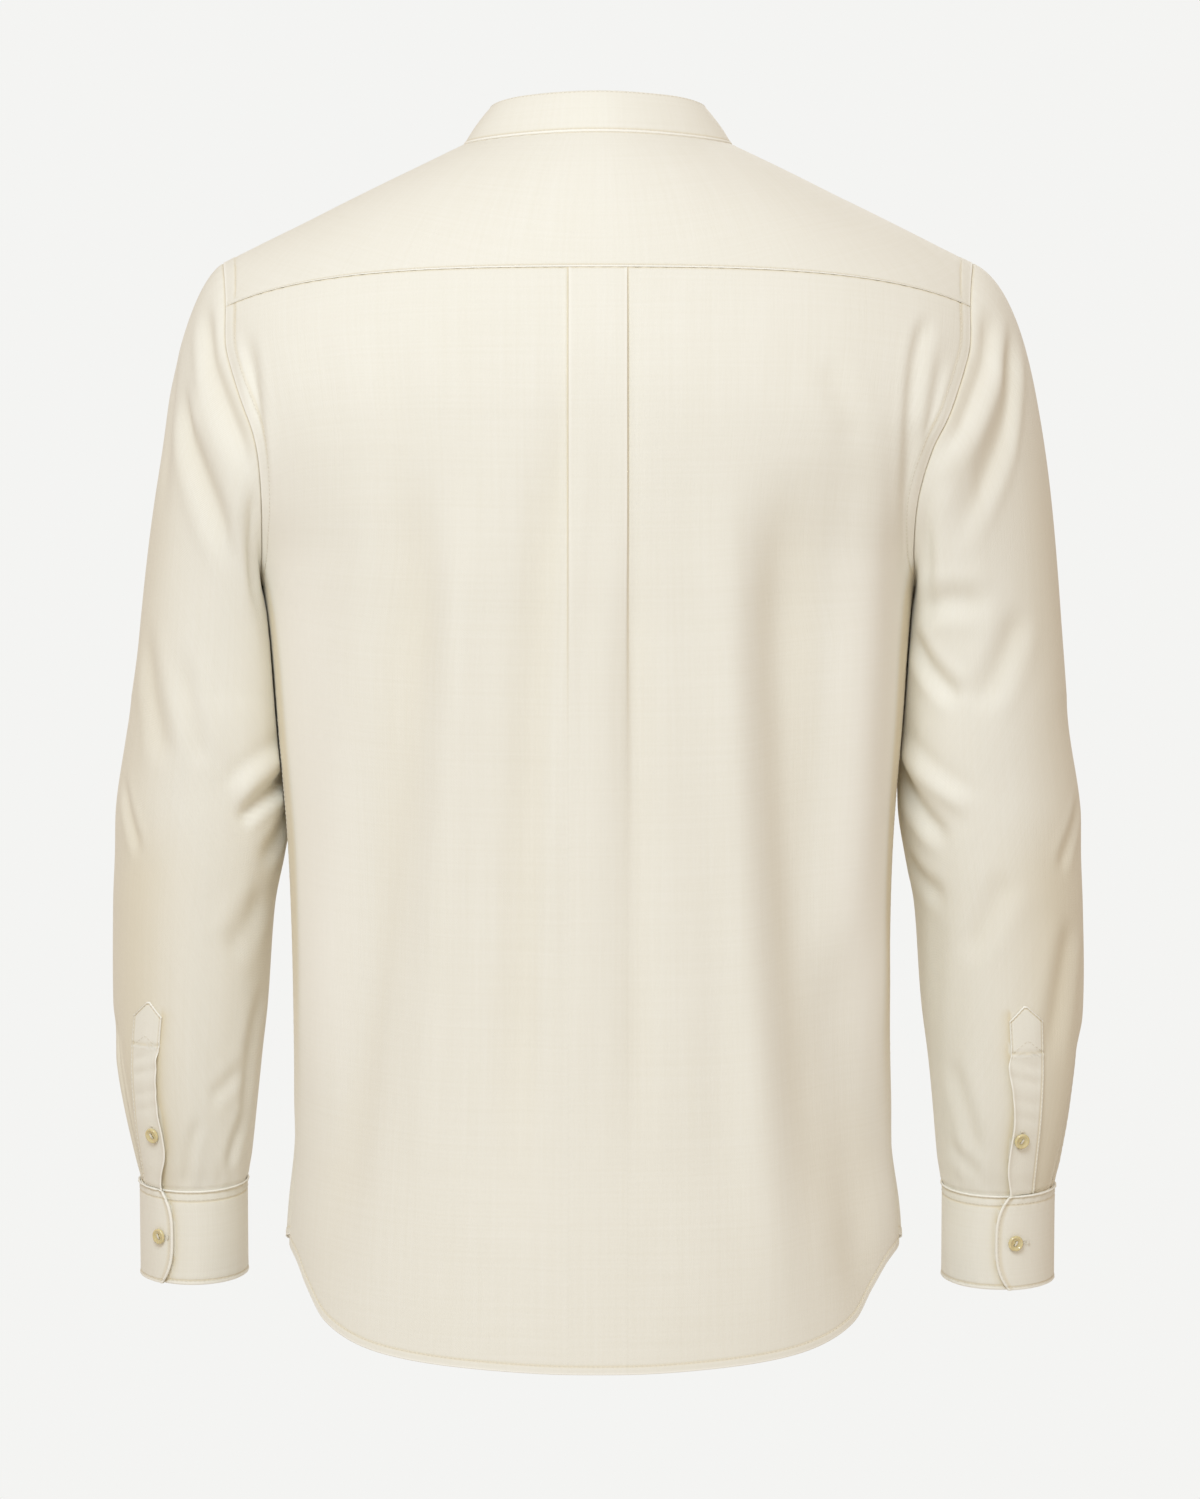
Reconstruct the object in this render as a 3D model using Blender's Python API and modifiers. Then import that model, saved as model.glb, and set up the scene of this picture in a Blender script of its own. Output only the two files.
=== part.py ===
"""Mandarin collar shirt, filled out as if worn, in metres with +Z up.

The front faces -Y and the wearer's left is +X. The origin is the point between the shoulders, level with
the top of the shoulder seams, where the wearer's body holds the shirt up.
"""
import math

import bpy
import numpy as np
from mathutils import Matrix, Vector

GARMENT = "mandarin_collar_shirt"

# Cloth (metres)
WALL = 0.0012          # one layer of shirt cloth
BAND_WALL = 0.0020     # collar band and cuffs, two layers and their stiffening
SEAM = 0.0003          # air between two pieces at a seam

# Driving sizes (metres)
SHOULDER_HALF = 0.232      # centre back to the shoulder point
CHEST_LEVEL = -0.170       # the fullest level of the back
UNDERARM_LEVEL = -0.272
RIDGE_TOP = 0.0314         # height the shoulder slopes would reach at the centre
RIDGE_SLOPE = 0.505
RIDGE_ROUNDING = 0.030
ARCH = 0.200               # nominal run of cloth from the shoulder ridge down to the chest level
ARCH_BACK = 1.8            # roundness of the shoulder over the back, 2 is an ellipse
ARCH_FRONT = 1.6
NECK_HALF = 0.083          # half width of the neck seam
NECK_BACK_LEVEL = 0.005
NECK_SIDE_LEVEL = 0.002
NECK_FRONT_LEVEL = -0.032
YOKE_LEVEL = -0.082        # back yoke seam at the centre
YOKE_DROP = 0.0180         # how much lower that seam is at the armhole
YOKE_FRONT_CORNER = math.radians(112)   # round the neck from the centre back
YOKE_BACK_CORNER = math.radians(62)
HEM_BACK_LEVEL = -0.749
HEM_FRONT_LEVEL = -0.736
HEM_SIDE_LEVEL = -0.674
PLEAT_HALF = 0.0178        # half width of the box pleat
PLEAT_RISE = 0.0024        # the pleat stands proud of the cloth under it
PLEAT_EDGE = 0.0018        # run of the step at each of its folds
PLEAT_HOLLOW = 0.0050      # how far beside the fold the cloth under it lies lowest
PLEAT_LENGTH = 0.330       # where the pleat has opened out, below the yoke seam
PLACKET_HALF = 0.0175
LAP = 0.0120               # how far the right front reaches under the placket
PLACKET_TOP = 0.0014       # the strip stops this far short of the neck seam, under the band
COLLAR_RISE = 0.0270
COLLAR_LEAN = 0.0134       # the band leans in over its height, at the centre back
COLLAR_LEAN_SIDE = 0.0175
RIM_DROP = 0.0060          # the band's rim is this much lower at the front than at the back
TOWER_POINT = 0.0095       # the tower placket's peak above its shoulders
TOWER_COLUMNS = {1: (3, 5), -1: (4, 6)}     # the sleeve's columns that each tower placket lies on
TOWER_TAPER = 0.2          # how far its edges come in towards its middle at the top
TOWER_TWIST = {1: (math.radians(1), math.radians(-15)), -1: (math.radians(2), math.radians(-5))}
CUFF_DEPTH = 0.060
CUFF_LAP = math.radians(36)
CUFF_END = {1: math.radians(71), -1: math.radians(96)}     # the overlapping end, round from the outer side
CUFF_ROUNDING = math.radians(13)
CUFF_BUTTON = {1: math.radians(56), -1: math.radians(77)}
CUFF_TUCK = 0.0007         # the sleeve's fullness stands this far outside the cuff
CUFF_RUN = (0.0, -0.155, -0.988)        # direction of the forearm at the cuff
CUFF_STEP = (math.radians(8), math.radians(80))    # where the over end starts to settle, and how slowly
WRIST_LEVEL = -0.6414      # seam between sleeve and cuff, on the sleeve's centre line
TOWER_LEVEL = -0.532       # shoulders of the tower placket
JOIN_LEVEL = -0.340        # where the sleeve cap has become a plain tube
JOIN_RUN = (0.08, -0.06, -1.0)          # direction of the left sleeve there
SLEEVE_CLEAR = 0.0030      # air between sleeve and body
FULLNESS = {1: 0.0, -1: 0.40}      # how much further the right sleeve's cap stands out than the left's
HANG = {1: 0.0, -1: 0.0030}        # how much lower the right cuff hangs
INNER_SHIFT = 0.002                # the left sleeve's inner side lies further out than the right's
BUTTON_HALF = 0.0056
BUTTON_THICK = 0.0024
BUTTON_RIM = 0.0007
SHANK = 0.0004             # thread between a placket button and the strip's bent middle
SMALL_BUTTON_HALF = 0.0049
PLACKET_BUTTON_LEVEL = {1: -0.6120, -1: -0.6155}
PLACKET_BUTTON_PLACE = {1: 0.52, -1: 0.28}      # from the strip's middle (0) towards its free edge (1)
FIRST_BUTTON_LEVEL = -0.085
BUTTON_SPACING = 0.085
FRONT_BUTTONS = 7

# Mesh counts
ROUND = 24             # points round the armhole and the sleeve
CORNER = 3             # armhole points from the shoulder point to a yoke corner
PLEAT_PLACES = (0.0, 0.5 * PLEAT_HALF, PLEAT_HALF - 0.0012, PLEAT_HALF + 0.0004, PLEAT_HALF + PLEAT_HOLLOW)
BACK_COLUMNS = 11      # columns of half the back, outside the pleat
SIDE_ROWS = 14         # rows down the side seam
YOKE_ROWS = 5
NECK_COLUMNS = 3       # columns of a front under the neck seam
CAP_ROWS = 8
TUBE_ROWS = 8
TOWER_ROWS = 5
BAND_ROWS = 3
CUFF_COLUMNS = 30


def table(columns, *rows):
    """One array for each named column."""
    return dict(zip(columns.split(), np.array(rows, float).T))


# The body, level by level: half width, how far the middle hangs to the wearer's left, depth of the back
# and of the front, and the squareness of the section (2 is an ellipse). Between the chest and the
# underarm the half width runs past the armholes, which cut the body off there.
BODY = table(
    "level half_width drift back front square",
    (-0.170, 0.2450, 0.0000, 0.128, 0.120, 2.30),
    (-0.190, 0.2390, 0.0020, 0.128, 0.123, 2.30),
    (-0.220, 0.2230, 0.0050, 0.127, 0.126, 2.28),
    (-0.250, 0.2070, 0.0062, 0.126, 0.127, 2.26),
    (-0.272, 0.2015, 0.0060, 0.125, 0.127, 2.25),
    (-0.295, 0.1985, 0.0055, 0.123, 0.126, 2.25),
    (-0.346, 0.1942, 0.0050, 0.120, 0.124, 2.25),
    (-0.435, 0.1870, 0.0047, 0.116, 0.120, 2.22),
    (-0.530, 0.1845, 0.0040, 0.115, 0.118, 2.20),
    (-0.620, 0.1855, 0.0030, 0.117, 0.119, 2.18),
    (-0.675, 0.1900, 0.0025, 0.120, 0.120, 2.16),
    (-0.760, 0.1885, 0.0050, 0.123, 0.120, 2.16),
)

# The armhole seam: its distance from the middle of the back and of the front
ARMHOLE = table(
    "level back front",
    (-0.068, 0.2320, 0.2320),
    (-0.085, 0.2298, 0.2285),
    (-0.100, 0.2285, 0.2260),
    (-0.125, 0.2277, 0.2205),
    (-0.140, 0.2240, 0.2160),
    (-0.165, 0.2155, 0.2075),
    (-0.190, 0.2055, 0.1985),
    (-0.220, 0.2000, 0.1950),
    (-0.250, 0.1995, 0.1965),
    (-0.272, 0.2015, 0.2015),
)

# The hem rises from the middle of the tail to the side seam: angle round the body in degrees, and the
# share of the rise
HEM = table(
    "angle share",
    (0, 0.00), (25, 0.045), (43, 0.16), (58, 0.37), (66, 0.62), (73, 0.84), (82, 0.96), (90, 1.00),
)

# The sleeve as a tube: the level of its centre line, its outer and inner side from the front, the
# centre line's place from front to back, half its depth, and how far each ring tips towards the back
SLEEVE = table(
    "level outer inner middle half_depth tip",
    (-0.340, 0.2918, 0.1895, -0.0195, 0.0620, 0.000),
    (-0.407, 0.3006, 0.1890, -0.0270, 0.0600, 0.040),
    (-0.438, 0.3017, 0.1935, -0.0305, 0.0585, 0.065),
    (-0.469, 0.3031, 0.1997, -0.0340, 0.0570, 0.090),
    (-0.530, 0.3036, 0.2047, -0.0410, 0.0545, 0.125),
    (-0.562, 0.3010, 0.2086, -0.0445, 0.0525, 0.140),
    (-0.593, 0.2959, 0.2119, -0.0482, 0.0495, 0.150),
    (-0.625, 0.2894, 0.2152, -0.0530, 0.0445, 0.155),
    (-0.6414, 0.2868, 0.2175, -0.0555, 0.0415, 0.155),
)

# How the sleeve leaves the armhole, at the shoulder, the back, the underarm and the front: the
# direction and pull of the cloth at the seam
CAP = table(
    "quarter out along up",
    (0, 0.098, 0.000, -0.046),
    (1, 0.070, -0.010, -0.050),
    (2, 0.012, 0.000, 0.004),
    (3, 0.070, 0.010, -0.050),
    (4, 0.098, 0.000, -0.046),
)

# The largest folds: both ends as seen from behind or from the front (x, z), half width and height, which
# is negative for a trough
FOLD_COLUMNS = "x1 z1 x2 z2 half_width height"
BACK_FOLDS = table(
    FOLD_COLUMNS,
    (0.090, -0.230, 0.097, -0.400, 0.016, -0.0046),
    (0.097, -0.400, 0.128, -0.670, 0.017, -0.0046),
    (0.068, -0.230, 0.074, -0.560, 0.011, 0.0022),
    (0.026, -0.200, 0.040, -0.370, 0.012, -0.0034),
    (0.040, -0.370, 0.044, -0.600, 0.012, -0.0030),
    (-0.023, -0.240, -0.023, -0.600, 0.010, -0.0020),
    (-0.117, -0.215, -0.121, -0.410, 0.021, -0.0085),
    (-0.121, -0.410, -0.146, -0.620, 0.021, -0.0080),
    (-0.081, -0.230, -0.090, -0.480, 0.015, 0.0026),
    (-0.090, -0.480, -0.104, -0.630, 0.015, 0.0022),
    (-0.186, -0.150, -0.186, -0.205, 0.010, -0.0026),
)
FRONT_FOLDS = table(
    FOLD_COLUMNS,
    (0.088, -0.250, 0.096, -0.450, 0.017, -0.0038),
    (0.096, -0.450, 0.122, -0.660, 0.017, -0.0040),
    (-0.070, -0.220, -0.080, -0.460, 0.018, -0.0036),
    (-0.080, -0.460, -0.118, -0.650, 0.018, -0.0040),
    (0.150, -0.170, 0.120, -0.260, 0.013, -0.0026),
    (-0.150, -0.160, -0.118, -0.260, 0.013, -0.0028),
)
SLEEVE_FOLDS = {
    +1: table(
        FOLD_COLUMNS,
        (0.240, -0.108, 0.216, -0.200, 0.010, -0.0045),
        (0.254, -0.155, 0.232, -0.245, 0.010, -0.0042),
        (0.245, -0.170, 0.225, -0.250, 0.007, 0.0022),
        (0.264, -0.285, 0.246, -0.365, 0.012, -0.0024),
        (0.216, -0.418, 0.196, -0.390, 0.007, 0.0026),
        (0.216, -0.428, 0.198, -0.404, 0.008, -0.0032),
    ),
    -1: table(
        FOLD_COLUMNS,
        (-0.240, -0.112, -0.214, -0.178, 0.010, -0.0044),
        (-0.251, -0.135, -0.224, -0.228, 0.010, -0.0044),
        (-0.232, -0.277, -0.204, -0.286, 0.012, -0.0030),
        (-0.258, -0.296, -0.236, -0.333, 0.010, -0.0026),
        (-0.226, -0.402, -0.198, -0.384, 0.008, 0.0028),
        (-0.216, -0.412, -0.194, -0.394, 0.008, -0.0034),
    ),
}

# Each finish: its colour and its roughness
FINISHES = {
    "shirt_cloth": ((0.86, 0.82, 0.72, 1.0), 0.85),
    "button_horn": ((0.62, 0.50, 0.29, 1.0), 0.25),
}


# ---------------------------------------------------------------- numbers

def smooth(at, knots, values):
    """A curve through the knots. Its slope at a knot is the slope between that knot's neighbours."""
    order = np.argsort(knots)
    knots, values = knots[order], values[order]
    slope = np.zeros_like(values)
    slope[1:-1] = (values[2:] - values[:-2]) / (knots[2:] - knots[:-2])
    at = np.asarray(at, float)
    low = np.clip(np.searchsorted(knots, at, side="right") - 1, 0, len(knots) - 2)
    span = knots[low + 1] - knots[low]
    t = np.clip((at - knots[low]) / span, 0, 1)
    return ((1 + 2 * t) * (1 - t) ** 2 * values[low] + t * (1 - t) ** 2 * span * slope[low]
            + t * t * (3 - 2 * t) * values[low + 1] - t * t * (1 - t) * span * slope[low + 1])


def ease(value):
    """0 to 1 with level ends."""
    value = np.clip(value, 0, 1)
    return value * value * (3 - 2 * value)


def root(value, power):
    """A power that keeps the sign."""
    return np.sign(value) * np.abs(value) ** power


def unit(vectors):
    """Vectors of length one."""
    return vectors / np.maximum(np.linalg.norm(vectors, axis=-1, keepdims=True), 1e-9)


def normals(grid, closed=False):
    """Directions across a grid of points whose rows run down and whose columns run counterclockwise
    seen from above, so that they point outwards."""
    down = np.gradient(grid, axis=0)
    if closed:
        along = np.roll(grid, -1, axis=1) - np.roll(grid, 1, axis=1)
    else:
        along = np.gradient(grid, axis=1)
    return unit(np.cross(down, along))


# ---------------------------------------------------------------- the body's form

def ridge(x):
    """Height of the shoulder line: straight slopes, rounded together at the centre."""
    return RIDGE_TOP - RIDGE_SLOPE * (np.sqrt(x * x + RIDGE_ROUNDING ** 2) - RIDGE_ROUNDING)


def body_at(level, *columns):
    """Named columns of the body's table at a level."""
    return tuple(smooth(level, BODY["level"], BODY[column]) for column in columns)


def torso(angle, fall):
    """Point of the body. `angle` runs across it, 0 at the centre and a quarter turn at a side seam,
    positive to the wearer's left. `fall` runs down from the shoulder ridge, positive over the back and
    negative over the front. Below the chest each level is a squared ellipse. Above it, a rounded arch
    leads up from the chest's section to the ridge."""
    back = fall >= 0
    drop = np.abs(fall)
    level = CHEST_LEVEL - np.maximum(drop - ARCH, 0)
    half, drift, behind, before, square = body_at(level, "half_width", "drift", "back", "front", "square")
    turn = np.minimum(drop / ARCH, 1) * math.pi / 2
    arch = 2 / np.where(back, ARCH_BACK, ARCH_FRONT)
    x = drift + half * root(np.sin(angle), 2 / square)
    y = np.where(back, behind, -before) * root(np.maximum(np.cos(angle), 0), 2 / square)
    return np.stack([x, y * np.sin(turn) ** arch,
                     level + (ridge(x) - CHEST_LEVEL) * root(np.maximum(np.cos(turn), 0), arch)], axis=-1)


def angle_at(across, level):
    """The angle whose point lies `across` from the middle of the body at a level."""
    half, square = body_at(np.minimum(level, CHEST_LEVEL), "half_width", "square")
    return np.arcsin(root(np.clip(across / half, -1, 1), square / 2))


def straight(grid, column, x):
    """Set a column of an (angle, fall) grid to a vertical line at `x`, which the body's drift leaves."""
    level = CHEST_LEVEL - np.maximum(np.abs(grid[:, column, 1]) - ARCH, 0)
    grid[:, column, 0] = angle_at(x - body_at(level, "drift")[0], level)


def fall_at(across, level, face):
    """The fall whose point is at `level`, over the back (face 1) or the front (face -1)."""
    arch = np.where(face > 0, ARCH_BACK, ARCH_FRONT)
    share = np.clip((level - CHEST_LEVEL) / (ridge(across) - CHEST_LEVEL), 0, 1)
    return face * (ARCH * np.arccos(share ** (arch / 2)) / (math.pi / 2)
                   + np.maximum(CHEST_LEVEL - level, 0))


def place(across, level, face):
    """(angle, fall) of a point given by its place across the body and its level."""
    across, level, face = np.broadcast_arrays(across, level, face)
    return np.stack([angle_at(across, level), fall_at(across, level, face)], axis=-1)


def armhole():
    """(angle, fall) of the points round the armhole: shoulder point, back, underarm, front."""
    turn = np.arange(ROUND) * 2 * math.pi / ROUND
    top = ridge(SHOULDER_HALF)
    level = UNDERARM_LEVEL + (top - UNDERARM_LEVEL) * (1 + np.cos(turn)) / 2
    face = np.where(turn <= math.pi, 1, -1)
    across = np.where(face > 0, smooth(level, ARMHOLE["level"], ARMHOLE["back"]),
                      smooth(level, ARMHOLE["level"], ARMHOLE["front"]))
    return place(across, level, face)


def neck(turn):
    """(angle, fall) round the neck seam: 0 at the centre back, half a turn at the centre front."""
    face = np.where(np.cos(turn) >= 0, 1, -1)
    bottom = np.where(face > 0, NECK_BACK_LEVEL, NECK_FRONT_LEVEL)
    level = NECK_SIDE_LEVEL + (bottom - NECK_SIDE_LEVEL) * np.cos(turn) ** 2
    across = NECK_HALF * np.sin(turn)
    return place(across, np.minimum(level, ridge(across)), face)


def relief(grid, normal, folds, face):
    """Height of the folds at each point: each is a soft ridge or trough round a straight line, seen
    from behind (face 1) or from the front (face -1), and fades where the cloth turns away."""
    start = np.stack([folds["x1"], folds["z1"]], axis=-1)
    run = np.stack([folds["x2"], folds["z2"]], axis=-1) - start
    offset = grid[..., None, [0, 2]] - start
    along = np.clip((offset * run).sum(-1) / (run * run).sum(-1), 0, 1)
    away = np.linalg.norm(offset - along[..., None] * run, axis=-1)
    height = (folds["height"] * np.exp(-(away / folds["half_width"]) ** 2)).sum(-1)
    return height * ease(face * normal[..., 1] * 2.5)


# ---------------------------------------------------------------- panels of the body

def patch(top, bottom, side, share, down):
    """A half panel in (angle, fall). Each row is a straight blend of the top and bottom edges, `down`
    from 0 to 1, and is pulled to the side edge by `share`, which grows from 0 to 1 across it."""
    down = down[:, None, None]
    mix = (1 - down) * top[None] + down * bottom[None]
    return mix + share[None, :, None] * (side - mix[:, -1])[:, None]


def side_edge(face):
    """The armhole from a yoke corner down to the underarm, then the side seam to the hem, with the
    share of its length at each point."""
    loop = armhole()
    bottom = ROUND // 2
    arm = loop[CORNER:bottom + 1] if face > 0 else loop[bottom:ROUND - CORNER + 1][::-1]
    arm[:, 1] = face * np.abs(arm[:, 1])
    level = np.linspace(UNDERARM_LEVEL, HEM_SIDE_LEVEL, SIDE_ROWS + 1)[1:]
    seam = np.stack([np.full_like(level, math.pi / 2), face * (ARCH + CHEST_LEVEL - level)], axis=-1)
    edge = np.vstack([arm, seam])
    steps = np.linalg.norm(np.diff(torso(edge[:, 0], edge[:, 1]), axis=0), axis=1)
    return edge, np.concatenate([[0], np.cumsum(steps) / steps.sum()])


def hem(angle, face):
    """(angle, fall) along the hem, lowest at the centre of the tail."""
    lowest = HEM_BACK_LEVEL if face > 0 else HEM_FRONT_LEVEL
    share = smooth(np.degrees(np.abs(angle)), HEM["angle"], HEM["share"])
    level = lowest + (HEM_SIDE_LEVEL - lowest) * share
    return np.stack([angle, face * (ARCH + CHEST_LEVEL - level)], axis=-1)


def yoke_seam(across):
    """(angle, fall) along the back yoke seam, level at the centre and falling to the armhole."""
    level = YOKE_LEVEL - YOKE_DROP * (np.abs(across) / SHOULDER_HALF) ** 4
    return place(across, level, 1)


def back_columns():
    """Places across half the back along the yoke seam: the pleat's folds, then evenly to the armhole."""
    corner = armhole()[CORNER]
    reach = float(abs(torso(corner[0], corner[1])[0]))
    return np.concatenate([PLEAT_PLACES, np.linspace(PLEAT_PLACES[-1], reach, BACK_COLUMNS + 1)[1:]])


def half_back():
    """(angle, fall) of half the back panel, and its places across at the top."""
    across = back_columns()
    edge, down = side_edge(1)
    top = yoke_seam(across)
    top[-1] = edge[0]
    beside = PLEAT_PLACES[-1]
    spread = (across - beside) / (across[-1] - beside)
    inner = angle_at(beside, HEM_BACK_LEVEL)
    tail = np.where(spread > 0, inner + (math.pi / 2 - inner) * spread, angle_at(across, HEM_BACK_LEVEL))
    return patch(top, hem(tail, 1), edge, np.clip(spread, 0, 1) ** 1.5, down), across


def pleat_height(across, fall):
    """The box pleat: a flat strip with two sharp folds, a slight hollow beside them, fading down."""
    top = yoke_seam(np.zeros(1))[0, 1]
    along = (fall - top) / PLEAT_LENGTH
    strength = (1 - ease((along - 0.45) / 0.75)) * (0.45 + 0.55 * ease(along * 9))
    beside = np.abs(across) - PLEAT_HALF
    strip = 1 - ease(0.8 + beside / PLEAT_EDGE)
    hollow = np.exp(-((beside - PLEAT_HOLLOW) / (1.2 * PLEAT_HOLLOW)) ** 2)
    return PLEAT_RISE * strength * (strip - 0.35 * hollow)


def back_panel():
    """The whole back: its points, outwards directions and places across and down the body."""
    half, across = half_back()
    mirrored = half * (-1, 1)
    grid = np.concatenate([half[:, ::-1], mirrored[:, 1:]], axis=1)
    centre = len(across) - 1
    for step, place_across in enumerate(PLEAT_PLACES):
        straight(grid, centre - step, place_across)
        straight(grid, centre + step, -place_across)
    points = torso(grid[..., 0], grid[..., 1])
    outward = normals(points)
    height = pleat_height(points[..., 0], grid[..., 1]) + relief(points, outward, BACK_FOLDS, 1)
    height[:, [0, -1]] = 0
    height[0] = np.maximum(height[0], 0) * 0.5
    return points + outward * height[..., None]


def neck_turns():
    """Turns round the neck from the left front corner of the yoke to the right one."""
    arm = np.linspace(YOKE_FRONT_CORNER, YOKE_BACK_CORNER, 2 * CORNER + 1)
    across = back_columns()[::-1]
    half = np.arcsin(across / across[0] * math.sin(YOKE_BACK_CORNER))
    left = np.concatenate([arm, half[1:]])
    return np.concatenate([left, -left[::-1][1:]])


def yoke():
    """The yoke, in rows from the neck seam out to the armholes and the back yoke seam."""
    loop = armhole()
    front = loop[ROUND - CORNER:]
    outer = np.vstack([front, loop[:CORNER], yoke_seam(back_columns()[::-1])])
    outer[2 * CORNER] = loop[CORNER]
    outer = np.vstack([outer, (outer * (-1, 1))[::-1][1:]])
    inner = neck(neck_turns())
    out = np.linspace(0, 1, YOKE_ROWS + 1)[:, None, None]
    grid = (1 - out) * inner + out * outer
    return torso(grid[..., 0], grid[..., 1])


def front_panel(side):
    """One front, in columns from its centre edge to the side. The left front (side 1) ends beside the
    right one, which reaches a little way under the placket."""
    edge_across = LAP + SEAM if side > 0 else -LAP
    loop = armhole()
    start = math.pi - math.asin(PLACKET_HALF / NECK_HALF)
    turns = np.linspace(start, YOKE_FRONT_CORNER, NECK_COLUMNS + 1)
    first = math.pi - math.asin(edge_across / NECK_HALF)
    collar = neck(np.concatenate([[first], turns]))
    out = np.linspace(0, 1, YOKE_ROWS + 1)[1:, None]
    shoulder = (1 - out) * collar[-1] + out * loop[ROUND - CORNER]
    top = np.vstack([collar, shoulder])
    edge, down = side_edge(-1)
    inner = angle_at(np.array([edge_across, PLACKET_HALF]), HEM_FRONT_LEVEL)
    share = np.concatenate([[0], np.linspace(0, 1, len(top) - 1)])
    tail = np.concatenate([inner[:1], inner[1] + (math.pi / 2 - inner[1]) * share[1:]])
    grid = patch(top, hem(tail, -1), edge, share ** 1.5, down)
    grid[..., 0] *= side
    for column, across in enumerate((edge_across, PLACKET_HALF)):
        straight(grid, column, side * across)
    points = torso(grid[..., 0], grid[..., 1])
    if side < 0:
        points = points[:, ::-1]
    outward = normals(points)
    height = relief(points, outward, FRONT_FOLDS, -1)
    height[0] = 0
    height[:, [0, 1, -2, -1]] = 0
    return points + outward * height[..., None]


# ---------------------------------------------------------------- sleeves and cuffs

def clear_of_body(points, side):
    """Sleeve points moved outwards where they would touch the body below the underarm."""
    x, y, z = side * points[..., 0], points[..., 1], points[..., 2]
    half, drift, behind, before, square = body_at(z, "half_width", "drift", "back", "front", "square")
    depth = np.where(y > 0, behind, before)
    flat = np.clip(1 - np.abs(y / depth) ** square, 0, 1) ** (1 / square)
    air = SLEEVE_CLEAR * ease((UNDERARM_LEVEL - z) / 0.030)
    limit = side * drift + half * flat + air + SEAM
    below = z < UNDERARM_LEVEL + 0.002
    moved = np.where(below, np.maximum(x, limit), x)
    return np.stack([side * moved, y, z], axis=-1)


def sleeve_ring(level, turn, side, extra=0.0):
    """Rings round the sleeve's centre line: ellipses that tip towards the back as the forearm swings
    forward. `turn` is 0 at the outer side and a quarter turn at the back."""
    outer, inner, middle, deep, tip = (
        smooth(level, SLEEVE["level"], SLEEVE[column])
        for column in ("outer", "inner", "middle", "half_depth", "tip"))
    inner = inner + INNER_SHIFT * side
    x = (outer + inner) / 2 + ((outer - inner) / 2 + extra) * np.cos(turn)
    y = (deep + extra) * np.sin(turn)
    lower = HANG[side] * ease((JOIN_LEVEL - level) / (JOIN_LEVEL - WRIST_LEVEL))
    return np.stack([side * x, middle + y, level - lower - tip * y], axis=-1)


def sleeve(side):
    """A sleeve in rows from the armhole to the cuff. Each column is a curve with set directions at the
    armhole and at the plain tube, then follows the tube's rings. Near the cuff the columns twist, so that
    the tower placket lies along them."""
    turn = np.arange(ROUND) * 2 * math.pi / ROUND
    loop = armhole()
    start = torso(side * loop[:, 0], loop[:, 1])
    end = sleeve_ring(np.full(ROUND, JOIN_LEVEL), turn, side)
    quarter = np.arange(ROUND) * 4 / ROUND
    puff = 1 + FULLNESS[side] * (1 + np.cos(turn)) / 2
    leave = np.stack([side * puff * smooth(quarter, CAP["quarter"], CAP["out"]),
                      smooth(quarter, CAP["quarter"], CAP["along"]),
                      smooth(quarter, CAP["quarter"], CAP["up"])], axis=-1)
    chord = np.linalg.norm(end - start, axis=1)
    arrive = chord[:, None] * np.array(JOIN_RUN) * (side, 1, 1)
    t = (np.linspace(0, 1, CAP_ROWS + 1)[:-1] ** 1.25)[:, None, None]
    cap = ((1 + 2 * t) * (1 - t) ** 2 * start + t * (1 - t) ** 2 * leave
           + t * t * (3 - 2 * t) * end - t * t * (1 - t) * arrive)
    levels = np.concatenate([np.linspace(JOIN_LEVEL, TOWER_LEVEL, TUBE_ROWS + 1)[:-1],
                             np.linspace(TOWER_LEVEL, WRIST_LEVEL + SEAM, TOWER_ROWS + 1)])
    twist = np.interp(-levels, (-JOIN_LEVEL, -TOWER_LEVEL, -WRIST_LEVEL), (0, *TOWER_TWIST[side]))
    tube = sleeve_ring(levels[:, None], turn[None] + twist[:, None], side)
    points = np.concatenate([cap, tube])
    if side < 0:
        points = points[:, ::-1]
    outward = normals(points, closed=True)
    height = relief(points, outward, SLEEVE_FOLDS[side], 1)
    mirrored = {**SLEEVE_FOLDS[-side], "x1": -SLEEVE_FOLDS[-side]["x1"], "x2": -SLEEVE_FOLDS[-side]["x2"]}
    height += 0.8 * relief(points, outward, mirrored, -1)
    height *= ease(np.arange(len(points)) / 3)[:, None]
    points[1:] = clear_of_body(points[1:] + outward[1:] * height[1:, :, None], side)
    return points


def cuff(side):
    """A cuff: one band round the wrist whose rounded outer end laps over the inner one."""
    share = np.linspace(0, 1, CUFF_COLUMNS + 1)
    deep = np.linspace(0, 1, BAND_ROWS + 1)[:, None]
    end = CUFF_END[side] - CUFF_ROUNDING * np.abs(2 * deep - 1) ** 3
    far = CUFF_END[side] - 2 * math.pi - CUFF_LAP
    turn = end + (far - end) * share[None]
    settle, slowly = CUFF_STEP
    lift = (BAND_WALL + SEAM) * (1 - ease((CUFF_END[side] - CUFF_LAP - settle - turn) / slowly))
    ring = sleeve_ring(np.full_like(turn, WRIST_LEVEL), turn, side, lift - CUFF_TUCK)
    points = ring + np.array(CUFF_RUN) * CUFF_DEPTH * deep[..., None]
    return points[:, ::-1] if side > 0 else points


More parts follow.
